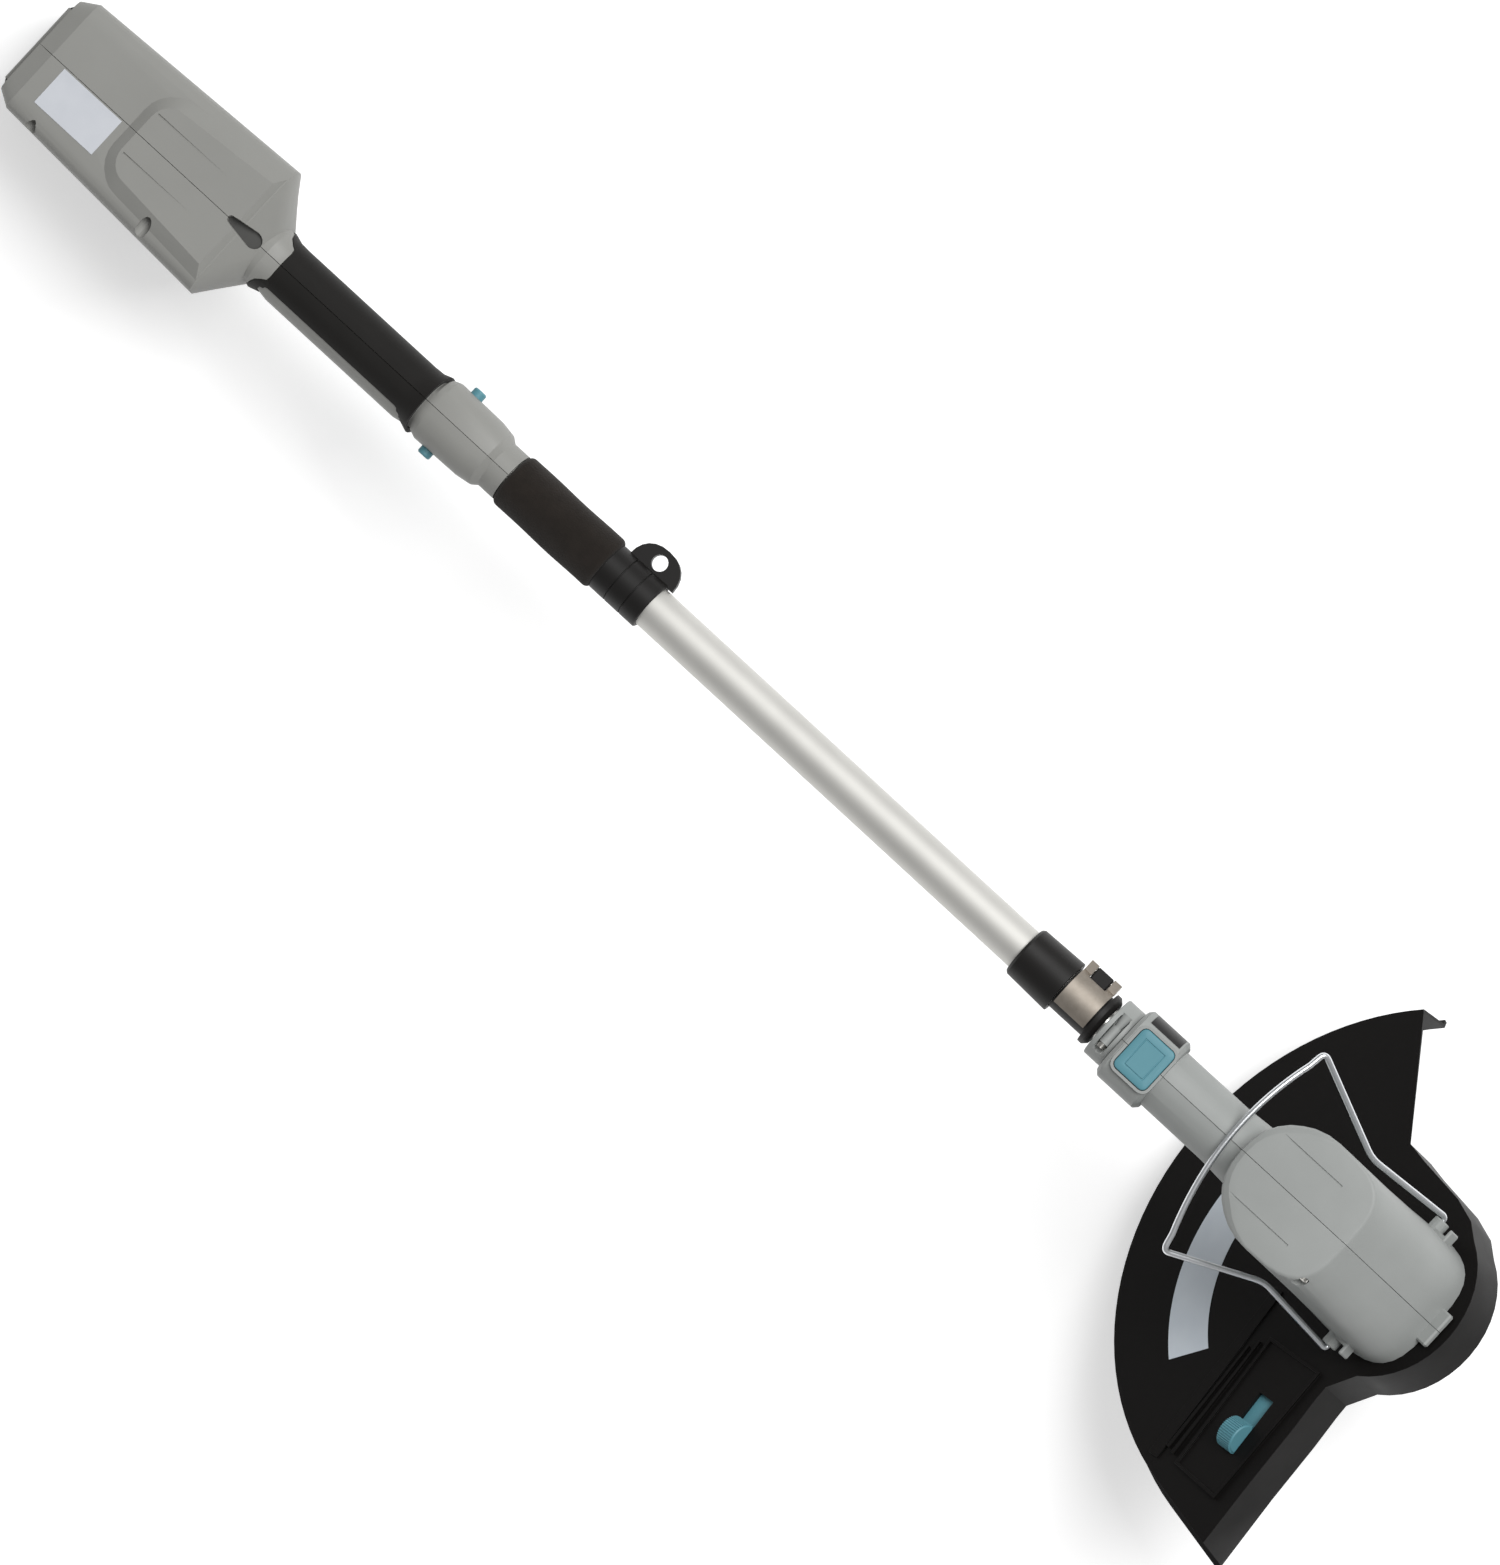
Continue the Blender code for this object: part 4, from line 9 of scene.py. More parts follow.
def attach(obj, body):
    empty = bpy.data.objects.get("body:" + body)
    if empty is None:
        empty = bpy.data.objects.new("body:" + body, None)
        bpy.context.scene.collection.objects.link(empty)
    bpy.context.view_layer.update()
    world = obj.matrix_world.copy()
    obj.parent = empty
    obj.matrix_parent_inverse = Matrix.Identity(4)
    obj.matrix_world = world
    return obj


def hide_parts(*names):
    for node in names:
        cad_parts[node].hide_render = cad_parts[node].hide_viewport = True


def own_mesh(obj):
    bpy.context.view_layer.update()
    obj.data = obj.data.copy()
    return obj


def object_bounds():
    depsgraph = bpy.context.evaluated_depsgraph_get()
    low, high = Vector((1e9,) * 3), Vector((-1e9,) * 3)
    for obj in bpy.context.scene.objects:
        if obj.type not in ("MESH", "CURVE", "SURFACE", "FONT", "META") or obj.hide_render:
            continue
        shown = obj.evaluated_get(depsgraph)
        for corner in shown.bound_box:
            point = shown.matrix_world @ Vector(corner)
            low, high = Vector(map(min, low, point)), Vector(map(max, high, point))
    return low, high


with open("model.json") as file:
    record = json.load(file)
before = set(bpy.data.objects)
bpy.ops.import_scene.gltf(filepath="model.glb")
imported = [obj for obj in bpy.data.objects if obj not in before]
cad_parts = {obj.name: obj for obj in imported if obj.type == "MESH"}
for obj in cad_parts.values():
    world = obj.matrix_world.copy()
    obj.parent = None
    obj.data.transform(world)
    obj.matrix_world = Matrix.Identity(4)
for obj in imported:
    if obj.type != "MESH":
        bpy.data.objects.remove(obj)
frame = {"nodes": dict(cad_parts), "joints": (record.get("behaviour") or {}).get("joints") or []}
cad_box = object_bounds()

# Handle shells
# Two halves moulded in warm grey ABS and screwed together along the middle of the handle.
# The mould was spark eroded, so the faces are matt, and every moulded edge is slightly rounded.

joints = {joint["name"]: joint for joint in frame["joints"]}


def standing_axes(point, forward):
    """Axes at a point: X runs forward along the piece, Y to its left and Z up from it."""
    left = Vector((0, 1, 0))
    turn = Matrix((forward, left, forward.cross(left))).transposed()
    return Matrix.Translation(point) @ turn.to_4x4()


POLE_TWIST_DISTANCE = 0.835
pole_direction = Vector(joints["pole_telescope"]["axis"])
pole_start = Vector(joints["head_twist"]["pos_m"]) - pole_direction * POLE_TWIST_DISTANCE
pole = standing_axes(pole_start, pole_direction)


def colour(hex_value):
    """The linear values of an sRGB hex colour."""
    channels = [int(hex_value[i:i + 2], 16) / 255 for i in (0, 2, 4)]
    linear = [c / 12.92 if c <= 0.04045 else ((c + 0.055) / 1.055) ** 2.4 for c in channels]
    return (*linear, 1.0)


def per_mm(size):
    """The texture scale at which one feature of a pattern is this many millimetres."""
    return 1000.0 / size


def add_node(tree, kind, inputs=None, **settings):
    """Adds one shader node with its settings, and sets or links its inputs."""
    made = tree.nodes.new(kind)
    for name, value in settings.items():
        setattr(made, name, value)
    for socket, value in (inputs or {}).items():
        if isinstance(value, bpy.types.NodeSocket):
            tree.links.new(value, made.inputs[socket])
        else:
            made.inputs[socket].default_value = value
    return made


def start_material(name, values):
    """A new material with these values on its shader, and its tree, shader and object coordinates."""
    material = bpy.data.materials.new(name)
    material.use_nodes = True
    tree = material.node_tree
    shader = tree.nodes["Principled BSDF"]
    for socket, value in values.items():
        shader.inputs[socket].default_value = value
    place = add_node(tree, "ShaderNodeTexCoord").outputs["Object"]
    return material, tree, shader, place


def two_tone(tree, share, first, second):
    """A colour that goes from the first hex value to the second as the share goes from 0 to 1."""
    mix = add_node(tree, "ShaderNodeMix", {0: share, 6: colour(first), 7: colour(second)}, data_type="RGBA")
    return mix.outputs[2]


def spark_eroded_abs(name, light_hex, dark_hex, roughness, grain=0.5, relief=0.05, gloss=0.5):
    """Moulded ABS: a faint cloudy tone from the melt's flow and a fine pebbled grain, sizes in mm."""
    material, tree, shader, place = start_material(name, {"Roughness": roughness, "IOR": 1.53,
                                                          "Specular IOR Level": gloss})
    flow = add_node(tree, "ShaderNodeTexNoise", {"Vector": place, "Scale": per_mm(35), "Detail": 5.0,
                                                 "Roughness": 0.6})
    tree.links.new(two_tone(tree, flow.outputs["Fac"], light_hex, dark_hex), shader.inputs["Base Color"])
    pebble = add_node(tree, "ShaderNodeTexNoise", {"Vector": place, "Scale": per_mm(grain), "Detail": 2.0})
    satin = add_node(tree, "ShaderNodeMapRange", {"Value": flow.outputs["Fac"], "From Min": 0.3,
                                                  "From Max": 0.7, "To Min": roughness - 0.04,
                                                  "To Max": roughness + 0.05})
    tree.links.new(satin.outputs["Result"], shader.inputs["Roughness"])
    bump = add_node(tree, "ShaderNodeBump", {"Height": pebble.outputs["Fac"], "Strength": 0.35,
                                             "Distance": relief / 1000})
    tree.links.new(bump.outputs["Normal"], shader.inputs["Normal"])
    return material


def finish_piece(work, name, axes, material, body, node=None, crease=None):
    """Turns a bmesh at these axes into a piece that rides on a body, and may replace a CAD node."""
    mesh = bpy.data.meshes.new(name)
    work.to_mesh(mesh)
    work.free()
    if "custom_normal" in mesh.attributes:
        mesh.attributes.remove(mesh.attributes["custom_normal"])
    mesh.materials.append(material)
    if crease:
        mesh.shade_smooth()
        mesh.set_sharp_from_angle(angle=math.radians(crease))
    piece = bpy.data.objects.new(name, mesh)
    bpy.context.scene.collection.objects.link(piece)
    piece.matrix_world = axes
    if node:
        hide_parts(node)
    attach(piece, body)
    return piece


WELD_DISTANCE = 0.000003
FLAT_ANGLE = math.radians(0.6)
ROUNDED_ANGLE = math.radians(36)
USUAL_CREASE = 32


def moulding(node, name, body, axes, material, edge=0.0005, crease=USUAL_CREASE):
    """A piece made over a CAD node: welded, creased above an angle, its corners rounded by a radius."""
    work = bmesh.new()
    work.from_mesh(frame["nodes"][node].data)
    work.transform(axes.inverted())
    bmesh.ops.remove_doubles(work, verts=work.verts, dist=WELD_DISTANCE)
    bmesh.ops.dissolve_limit(work, angle_limit=FLAT_ANGLE, verts=work.verts, edges=work.edges)
    piece = finish_piece(work, name, axes, material, body, node, crease)
    if edge:
        rounding = piece.modifiers.new("moulded_edge", "BEVEL")
        rounding.width = edge
        rounding.segments = 2
        rounding.limit_method = "ANGLE"
        rounding.angle_limit = ROUNDED_ANGLE
    return piece


FRONT_WALL_REAR, FRONT_WALL_FRONT = 0.150, 0.170
FRONT_WALL_TOP = 0.020
FRONT_WALL_RAKE = 0.215
HANDLE_CREASE = 17


def lean_front_wall_back(shell):
    """Leans the wall below the housing's front crease back, so that it doesn't show from above."""
    rearward = pole.to_3x3().inverted() @ Vector((-FRONT_WALL_RAKE, 0, 0))
    for vertex in shell.data.vertices:
        below = FRONT_WALL_TOP - vertex.co.z
        if FRONT_WALL_REAR < vertex.co.x < FRONT_WALL_FRONT and below > 0:
            vertex.co += rearward * below


warm_grey_abs = spark_eroded_abs("warm_grey_abs", "9A9A96", "91918D", roughness=0.52)
for side in ("left", "right"):
    half = moulding("handle_shell_" + side, "handle_moulding_" + side, "handle", pole,
                    warm_grey_abs, crease=HANDLE_CREASE)
    lean_front_wall_back(half)

# Seam tongue and crease recess
# A moulded tongue closes the seam from behind, along the top of the grip and the nose. Where the
# seam crosses the housing's front crease, the halves share a teardrop recess, whose dark floor sheet is
# painted shade.

TONGUE_FROM, TONGUE_TO, TONGUE_HALF = 0.190, 0.335, 0.0010
TONGUE_LEVEL, TONGUE_THICKNESS = 0.0150, 0.0012
RECESS_START, RECESS_END, RECESS_REAR_HALF, RECESS_FRONT_HALF = 0.1536, 0.1749, 0.0021, 0.0047
RECESS_LEVEL, RECESS_FALL, RECESS_LIFT = 0.0355, math.atan(0.610), 0.0001
RECESS_END_STEPS = 8


def thin_sheet(name, outline, level, thickness, axes, material, body):
    """A flat sheet cut to an outline, with its lower face at a level of the axes."""
    work = bmesh.new()
    face = work.faces.new([work.verts.new((x, y, level)) for x, y in outline])
    raised = bmesh.ops.extrude_face_region(work, geom=[face])
    top = [v for v in raised["geom"] if isinstance(v, bmesh.types.BMVert)]
    bmesh.ops.translate(work, verts=top, vec=(0, 0, thickness))
    bmesh.ops.recalc_face_normals(work, faces=work.faces)
    return finish_piece(work, name, axes, material, body)


tongue_outline = [(TONGUE_FROM, -TONGUE_HALF), (TONGUE_TO, -TONGUE_HALF), (TONGUE_TO, TONGUE_HALF),
                  (TONGUE_FROM, TONGUE_HALF)]
thin_sheet("seam_tongue", tongue_outline, TONGUE_LEVEL, TONGUE_THICKNESS, pole, warm_grey_abs, "handle")

recess_place = Matrix.Translation((RECESS_START, 0, RECESS_LEVEL))
recess_axes = pole @ recess_place @ Matrix.Rotation(RECESS_FALL, 4, "Y")
teardrop = []
for middle, half, begin in ((RECESS_REAR_HALF, RECESS_REAR_HALF, 90),
                            (RECESS_END - RECESS_START - RECESS_FRONT_HALF, RECESS_FRONT_HALF, -90)):
    for step in range(RECESS_END_STEPS + 1):
        angle = math.radians(begin + 180 * step / RECESS_END_STEPS)
        along = (middle + half * math.cos(angle)) / math.cos(RECESS_FALL)
        teardrop.append((along, half * math.sin(angle)))
# The dark grey of this sheet on the recess floor is painted shade, standing in for the recess's depth.
recess_painted_shade = spark_eroded_abs("painted_recess_shade_grey", "4A4A48", "40403E", roughness=0.60)
thin_sheet("recess_floor", teardrop, RECESS_LIFT, RECESS_LIFT, recess_axes, recess_painted_shade, "handle")

# Type plate
# A thin satin film, glued on the flat behind the raised part of the handle. It is blank.

PLATE_REAR, PLATE_FRONT = 0.0290, 0.0728
PLATE_INNER, PLATE_OUTER = -0.0010, -0.0258
PLATE_LEVEL, PLATE_THICKNESS = 0.03602, 0.00012


def polyester_film(name, light_hex, dark_hex, roughness):
    """Lacquered polyester film: even colour under a smooth coat, with slight ripples from the glue."""
    material, tree, shader, place = start_material(name, {"Roughness": roughness, "IOR": 1.57,
                                                          "Coat Weight": 0.15, "Coat Roughness": 0.25})
    ripple = add_node(tree, "ShaderNodeTexNoise", {"Vector": place, "Scale": per_mm(14), "Detail": 1.0})
    tree.links.new(two_tone(tree, ripple.outputs["Fac"], light_hex, dark_hex), shader.inputs["Base Color"])
    bump = add_node(tree, "ShaderNodeBump", {"Height": ripple.outputs["Fac"], "Strength": 0.2,
                                             "Distance": 0.0001})
    tree.links.new(bump.outputs["Normal"], shader.inputs["Normal"])
    return material


silver_film = polyester_film("silver_film", "D9DCE2", "CDD1D8", roughness=0.38)
plate_outline = [(PLATE_REAR, PLATE_INNER), (PLATE_REAR, PLATE_OUTER), (PLATE_FRONT, PLATE_OUTER),
                 (PLATE_FRONT, PLATE_INNER)]
thin_sheet("blank_type_plate", plate_outline, PLATE_LEVEL, PLATE_THICKNESS, pole, silver_film, "handle")

# Grip overmould
# Soft black elastomer moulded over the grip in a second shot. It is dull and slightly dusty,
# and its edges lie proud of the grey plastic that they were moulded against.


def soft_elastomer(name, light_hex, dark_hex):
    """Thermoplastic elastomer: dull, with a fine peach-skin grain that scatters light at the edges."""
    material, tree, shader, place = start_material(name, {
        "Roughness": 0.72, "IOR": 1.50, "Specular IOR Level": 0.3, "Sheen Weight": 0.05,
        "Sheen Roughness": 0.5})
    dust = add_node(tree, "ShaderNodeTexNoise", {"Vector": place, "Scale": per_mm(22), "Detail": 6.0,
                                                 "Roughness": 0.65})
    tree.links.new(two_tone(tree, dust.outputs["Fac"], dark_hex, light_hex), shader.inputs["Base Color"])
    grain = add_node(tree, "ShaderNodeTexNoise", {"Vector": place, "Scale": per_mm(0.7), "Detail": 3.0})
    bump = add_node(tree, "ShaderNodeBump", {"Height": grain.outputs["Fac"], "Strength": 0.3,
                                             "Distance": 0.00008})
    tree.links.new(bump.outputs["Normal"], shader.inputs["Normal"])
    return material


grip_elastomer = soft_elastomer("grip_elastomer", "1C1A18", "12110F")
for side in ("left", "right"):
    moulding("grip_overmould_" + side, "grip_skin_" + side, "handle", pole, grip_elastomer)

# Contacts and electronics
# The terminal block takes the battery's contacts; the board behind it is green glass epoxy
# with a solder mask. Both sit inside the shells, over the battery rails.

floor_level = Matrix.Identity(4)
black_abs = spark_eroded_abs("black_abs", "1B1918", "131211", roughness=0.48, grain=0.6, relief=0.06,
                             gloss=0.3)
moulding("terminal_block", "contact_block", "handle", floor_level, black_abs, edge=0.0003)
solder_mask, mask_tree, mask_shader, mask_place = start_material("green_solder_mask", {
    "Roughness": 0.35, "IOR": 1.5})
copper_below = add_node(mask_tree, "ShaderNodeTexVoronoi", {"Vector": mask_place, "Scale": per_mm(4)},
                        distance="CHEBYCHEV")
mask_tree.links.new(two_tone(mask_tree, copper_below.outputs["Distance"], "1E5A34", "2F7A48"),
                    mask_shader.inputs["Base Color"])
moulding("control_board", "circuit_board", "handle", floor_level, solder_mask, edge=0.0002)

# Battery pack
# A black ABS tray and cover around five cells, with two rails on top that slide into the handle.
# A sprung teal catch at its rear holds it, and a grey strip caps its upper rear edge.

PACK_TOP = 0.0400
END_TRIM_HALF, END_TRIM_DROP, END_TRIM_ROUND, END_TRIM_LIFT = 0.0265, 0.0050, 0.0030, 0.00015
END_TRIM_STEPS = 6

for node, name in (("battery_tray", "pack_tray"), ("battery_cover", "pack_cover")):
    moulding(node, name, "battery", floor_level, black_abs, edge=0.0006)
trim_x, trim_z = cad_box[0][0] + END_TRIM_ROUND, PACK_TOP - END_TRIM_ROUND
trim_profile = []
for lift, order in ((END_TRIM_LIFT, 1), (-END_TRIM_LIFT, -1)):
    reach = END_TRIM_ROUND + lift
    edge = [(trim_x - reach, PACK_TOP - END_TRIM_DROP)]
    for step in range(END_TRIM_STEPS + 1):
        angle = math.radians(180 - 90 * step / END_TRIM_STEPS)
        edge.append((trim_x + reach * math.cos(angle), trim_z + reach * math.sin(angle)))
    edge.append((trim_x + END_TRIM_ROUND, trim_z + reach))
    trim_profile += edge[::order]
upright = Matrix.Rotation(math.radians(90), 4, "X") @ Matrix.Translation((0, 0, -END_TRIM_HALF))
thin_sheet("pack_end_trim", trim_profile, 0.0, 2 * END_TRIM_HALF, upright, warm_grey_abs, "battery")
cell_wrap, wrap_tree, wrap_shader, wrap_place = start_material("blue_cell_wrap", {
    "Roughness": 0.3, "IOR": 1.54})
wrap_fold = add_node(wrap_tree, "ShaderNodeTexNoise", {"Vector": wrap_place, "Scale": per_mm(9),
                                                       "Detail": 2.0})
wrap_tree.links.new(two_tone(wrap_tree, wrap_fold.outputs["Fac"], "3F6C96", "54809F"),
                    wrap_shader.inputs["Base Color"])
moulding("battery_cells", "wrapped_cells", "battery", floor_level, cell_wrap, edge=0.0003)
teal_abs = spark_eroded_abs("teal_abs", "5F98A4", "558E9B", roughness=0.48, grain=0.5, relief=0.04)
moulding("battery_latch", "pack_catch", "battery_latch", floor_level, teal_abs, edge=0.0004)

# Trigger and lock-off bar
# A teal finger lever on a steel pin works the switch above it against a coil spring. The bar
# through the nose is pushed from either side to free it. Two steel screws hold the shells.


def machined_steel(name, light_hex, dark_hex, roughness, streak=0.4):
    """Plated or ground steel: metallic, with fine marks left by the wheel or the drawing die."""
    material, tree, shader, place = start_material(name, {"Metallic": 1.0, "Roughness": roughness})
    marks = add_node(tree, "ShaderNodeTexNoise", {"Vector": place, "Scale": per_mm(streak), "Detail": 3.0})
    film = add_node(tree, "ShaderNodeTexNoise", {"Vector": place, "Scale": per_mm(12), "Detail": 5.0,
                                                 "Roughness": 0.6})
    tree.links.new(two_tone(tree, film.outputs["Fac"], light_hex, dark_hex), shader.inputs["Base Color"])
    bump = add_node(tree, "ShaderNodeBump", {"Height": marks.outputs["Fac"], "Strength": 0.15,
                                             "Distance": 0.00005})
    tree.links.new(bump.outputs["Normal"], shader.inputs["Normal"])
    return material


bright_steel = machined_steel("bright_steel", "CFCDC8", "B4B2AD", roughness=0.25)


def node_points(node, axes):
    """The points of a CAD node's mesh, in these axes."""
    return [axes.inverted() @ v.co for v in frame["nodes"][node].data.vertices]


def coil_spring(node, name, body, axes):
    """A coil spring in bright steel, made over a CAD node, with a mesh of its own."""
    piece = moulding(node, name, body, axes, bright_steel, edge=0.0)
    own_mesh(piece)


moulding("trigger", "finger_lever", "trigger", pole, teal_abs, edge=0.0005)
moulding("trigger_pin", "lever_pivot", "handle", pole, bright_steel, edge=0.0)
for number in (1, 2):
    moulding(f"handle_screw_{number}", f"shell_screw_{number}", "handle", pole, bright_steel,
             edge=0.0)
moulding("trigger_switch", "micro_switch", "handle", pole, black_abs, edge=0.0)
coil_spring("trigger_spring", "return_spring", "handle", pole)
moulding("lock_off_bar", "lock_bar", "lock_off_bar", pole, teal_abs, edge=0.0003)

# Foam grip
# A sleeve of closed-cell foam pushed over the tube. It has a skin full of tiny pits, rounded
# ends, and a slightly uneven girth where it was stretched on.

FOAM_STEPS_ROUND, FOAM_STEPS_LONG = 96, 64
FOAM_ROUND, FOAM_SINK = 0.0034, 0.0002
FOAM_CREASE = 50
# Each wave of the girth: its height, how often it goes round, and its twist along the tube.
FOAM_WAVES = ((0.00012, 3, 90), (0.00010, 5, -160))

foam_points = node_points("foam_grip", pole)
foam_start, foam_end = min(p.x for p in foam_points), max(p.x for p in foam_points)
foam_reaches = [math.hypot(p.y, p.z) for p in foam_points]
foam_radius, foam_bore = max(foam_reaches), min(foam_reaches)


def foam_radius_at(distance):
    """Radius of the foam's skin at a distance from its nearer end."""
    if distance >= FOAM_ROUND:
        return foam_radius
    drop = FOAM_ROUND - math.sqrt(max(0.0, FOAM_ROUND ** 2 - (FOAM_ROUND - distance) ** 2))
    return foam_radius - drop


foam_angles = [2 * math.pi * k / FOAM_STEPS_ROUND for k in range(FOAM_STEPS_ROUND)]
work = bmesh.new()
rings = []
for i in range(FOAM_STEPS_LONG + 1):
    share = 0.5 - 0.5 * math.cos(math.pi * i / FOAM_STEPS_LONG)
    x = foam_start + (foam_end - foam_start) * share
    ring = []
    for angle in foam_angles:
        waver = sum(height * math.sin(times * angle + twist * x) for height, times, twist in FOAM_WAVES)
        radius = foam_radius_at(min(x - foam_start, foam_end - x)) + waver - FOAM_SINK
        ring.append(work.verts.new((x, radius * math.cos(angle), radius * math.sin(angle))))
    rings.append(ring)
for x in (foam_end, foam_start):
    rings.append([work.verts.new((x, foam_bore * math.cos(angle), foam_bore * math.sin(angle)))
                  for angle in foam_angles])
for first, second in zip(rings, rings[1:] + rings[:1]):
    for k in range(FOAM_STEPS_ROUND):
        after = (k + 1) % FOAM_STEPS_ROUND
        work.faces.new((first[k], second[k], second[after], first[after]))
bmesh.ops.recalc_face_normals(work, faces=work.faces)
foam_skin, foam_tree, foam_shader, foam_place = start_material("closed_cell_foam", {
    "Roughness": 0.92, "IOR": 1.45, "Specular IOR Level": 0.3, "Sheen Weight": 0.08, "Sheen Roughness": 0.6})
pits = add_node(foam_tree, "ShaderNodeTexVoronoi", {"Vector": foam_place, "Scale": per_mm(1.1),
                                                    "Randomness": 1.0})
patches = add_node(foam_tree, "ShaderNodeTexNoise", {"Vector": foam_place, "Scale": per_mm(7), "Detail": 5.0,
                                                     "Roughness": 0.7})
foam_tree.links.new(two_tone(foam_tree, patches.outputs["Fac"], "17130F", "2A241F"),
                    foam_shader.inputs["Base Color"])
pit_bump = add_node(foam_tree, "ShaderNodeBump", {"Height": pits.outputs["Distance"], "Strength": 0.6,
                                                  "Distance": 0.0003})
foam_tree.links.new(pit_bump.outputs["Normal"], foam_shader.inputs["Normal"])
foam_sleeve = finish_piece(work, "foam_sleeve", pole, foam_skin, "handle", "foam_grip",
                           FOAM_CREASE)

# Strap collar
# A black ABS ring that grips the tube ahead of the foam. It has turned grooves round it and a
# flat eye on its left side, which takes the hook of a shoulder strap.

moulding("strap_collar", "strap_ring", "handle", pole, black_abs, edge=0.0004)

# Outer tube
# A drawn and satin anodised aluminium tube. Drawing leaves faint lines along it, and the
# anodising gives a soft white sheen that hides most of them.


def anodised_aluminium(name, light_hex, dark_hex, roughness):
    """Satin anodised tube: metallic, even, with hair-fine drawing lines along its length."""
    material, tree, shader, place = start_material(name, {"Metallic": 1.0, "Roughness": roughness})
    along = add_node(tree, "ShaderNodeMapping", {"Vector": place, "Scale": (0.02, 1.0, 1.0)})
    lines = add_node(tree, "ShaderNodeTexNoise", {"Vector": along.outputs["Vector"], "Scale": per_mm(0.5),
                                                  "Detail": 4.0})
    cloud = add_node(tree, "ShaderNodeTexNoise", {"Vector": place, "Scale": per_mm(25), "Detail": 3.0})
    tree.links.new(two_tone(tree, cloud.outputs["Fac"], light_hex, dark_hex), shader.inputs["Base Color"])
    bump = add_node(tree, "ShaderNodeBump", {"Height": lines.outputs["Fac"], "Strength": 0.12,
                                             "Distance": 0.00005})
    tree.links.new(bump.outputs["Normal"], shader.inputs["Normal"])
    return material


satin_tube = anodised_aluminium("satin_anodised_tube", "E4E3DF", "D9D8D4", roughness=0.68)
moulding("outer_tube", "lower_tube", "handle", pole, satin_tube, edge=0.0)

# Quick clamp
# A black sleeve ends the outer tube. The split clamp ahead of it is squeezed on the inner
# tube by a pressed steel lever, nickel plated, that hooks over it and turns on a steel pin.

moulding("lower_sleeve", "clamp_sleeve", "handle", pole, black_abs, edge=0.0004)
moulding("clamp_body", "split_clamp", "handle", pole, black_abs, edge=0.0003)
moulding("lever_pin", "clamp_pivot", "handle", pole, bright_steel, edge=0.0)
nickel_plate, nickel_tree, nickel_shader, nickel_place = start_material("dull_nickel_plate", {
    "Metallic": 1.0, "Roughness": 0.58})
bloom = add_node(nickel_tree, "ShaderNodeTexNoise", {"Vector": nickel_place, "Scale": per_mm(5),
                                                     "Detail": 8.0, "Roughness": 0.7})
nickel_tree.links.new(two_tone(nickel_tree, bloom.outputs["Fac"], "B7AFA5", "8F877D"),
                      nickel_shader.inputs["Base Color"])
nickel_bump = add_node(nickel_tree, "ShaderNodeBump", {"Height": bloom.outputs["Fac"], "Strength": 0.3,
                                                       "Distance": 0.0001})
nickel_tree.links.new(nickel_bump.outputs["Normal"], nickel_shader.inputs["Normal"])
moulding("clamp_lever", "pressed_lever", "clamp_lever", pole, nickel_plate, edge=0.0003)

# Inner tube, guide plug, socket and index hub
# The thinner tube slides in the outer one on a plastic guide. Its front end is held in a grey
# socket ring by a cross screw, and carries the notched hub that the head turns on.

bare_tube = anodised_aluminium("bright_inner_tube", "D6D5D1", "C9C8C4", roughness=0.32)
moulding("inner_tube", "upper_tube", "boom", pole, bare_tube, edge=0.0)
moulding("guide_plug", "tube_guide", "boom", pole, black_abs, edge=0.0)
cool_grey_abs = spark_eroded_abs("cool_grey_abs", "A2A5A3", "979A98", roughness=0.50)
moulding("tube_socket", "socket_ring", "boom", pole, cool_grey_abs, edge=0.0004)
moulding("socket_screw", "cross_screw", "boom", pole, bright_steel, edge=0.0)
moulding("index_hub", "notched_hub", "boom", pole, black_abs, edge=0.0)

# Head shells
# Two halves in grey ABS: the collar around the hub, the neck, and the motor housing with its
# flat sloping top. The tone is cooler than the handle's.

HEAD_CREASE = 20
spin_point = Vector(joints["spool_spin"]["pos_m"])
spin_axis = Vector(joints["spool_spin"]["axis"])
head = standing_axes(spin_point, Vector((0, 1, 0)).cross(spin_axis))
for side in ("left", "right"):
    moulding("head_shell_" + side, "head_moulding_" + side, "head", head, cool_grey_abs,
             crease=HEAD_CREASE)
moulding("head_screw_1", "cap_screw", "head", head, bright_steel, edge=0.0)

# Collar label
# A small black film label, glued on the left flank of the collar beside the turn button. It is
# blank, and follows the flank's curve.

LABEL_FROM, LABEL_TO = 0.8244, 0.8452
LABEL_ANGLES = [math.radians(angle) for angle in (54, 48, 41, 34, 27, 20, 13)]
COLLAR_HALF, COLLAR_POWER, LABEL_THICKNESS = 0.0235, 3.4, 0.00012
LABEL_CREASE = 40

work = bmesh.new()
label_rows = []
for lift in (0.0, LABEL_THICKNESS):
    for x in (LABEL_FROM, LABEL_TO):
        row = []
        for angle in LABEL_ANGLES:
            y = (COLLAR_HALF + lift) * math.cos(angle) ** (2 / COLLAR_POWER)
            z = (COLLAR_HALF + lift) * math.sin(angle) ** (2 / COLLAR_POWER)
            row.append(work.verts.new((x, y, z)))
        label_rows.append(row)
for near, far in ((0, 1), (1, 3), (3, 2), (2, 0)):
    first, second = label_rows[near], label_rows[far]
    for k in range(len(LABEL_ANGLES) - 1):
        work.faces.new((first[k], second[k], second[k + 1], first[k + 1]))
for k in (0, -1):
    work.faces.new([label_rows[row][k] for row in (0, 1, 3, 2)])
bmesh.ops.recalc_face_normals(work, faces=work.faces)
black_film = polyester_film("black_film", "121111", "0E0D0D", roughness=0.50)
finish_piece(work, "blank_collar_label", pole, black_film, "head", crease=LABEL_CREASE)

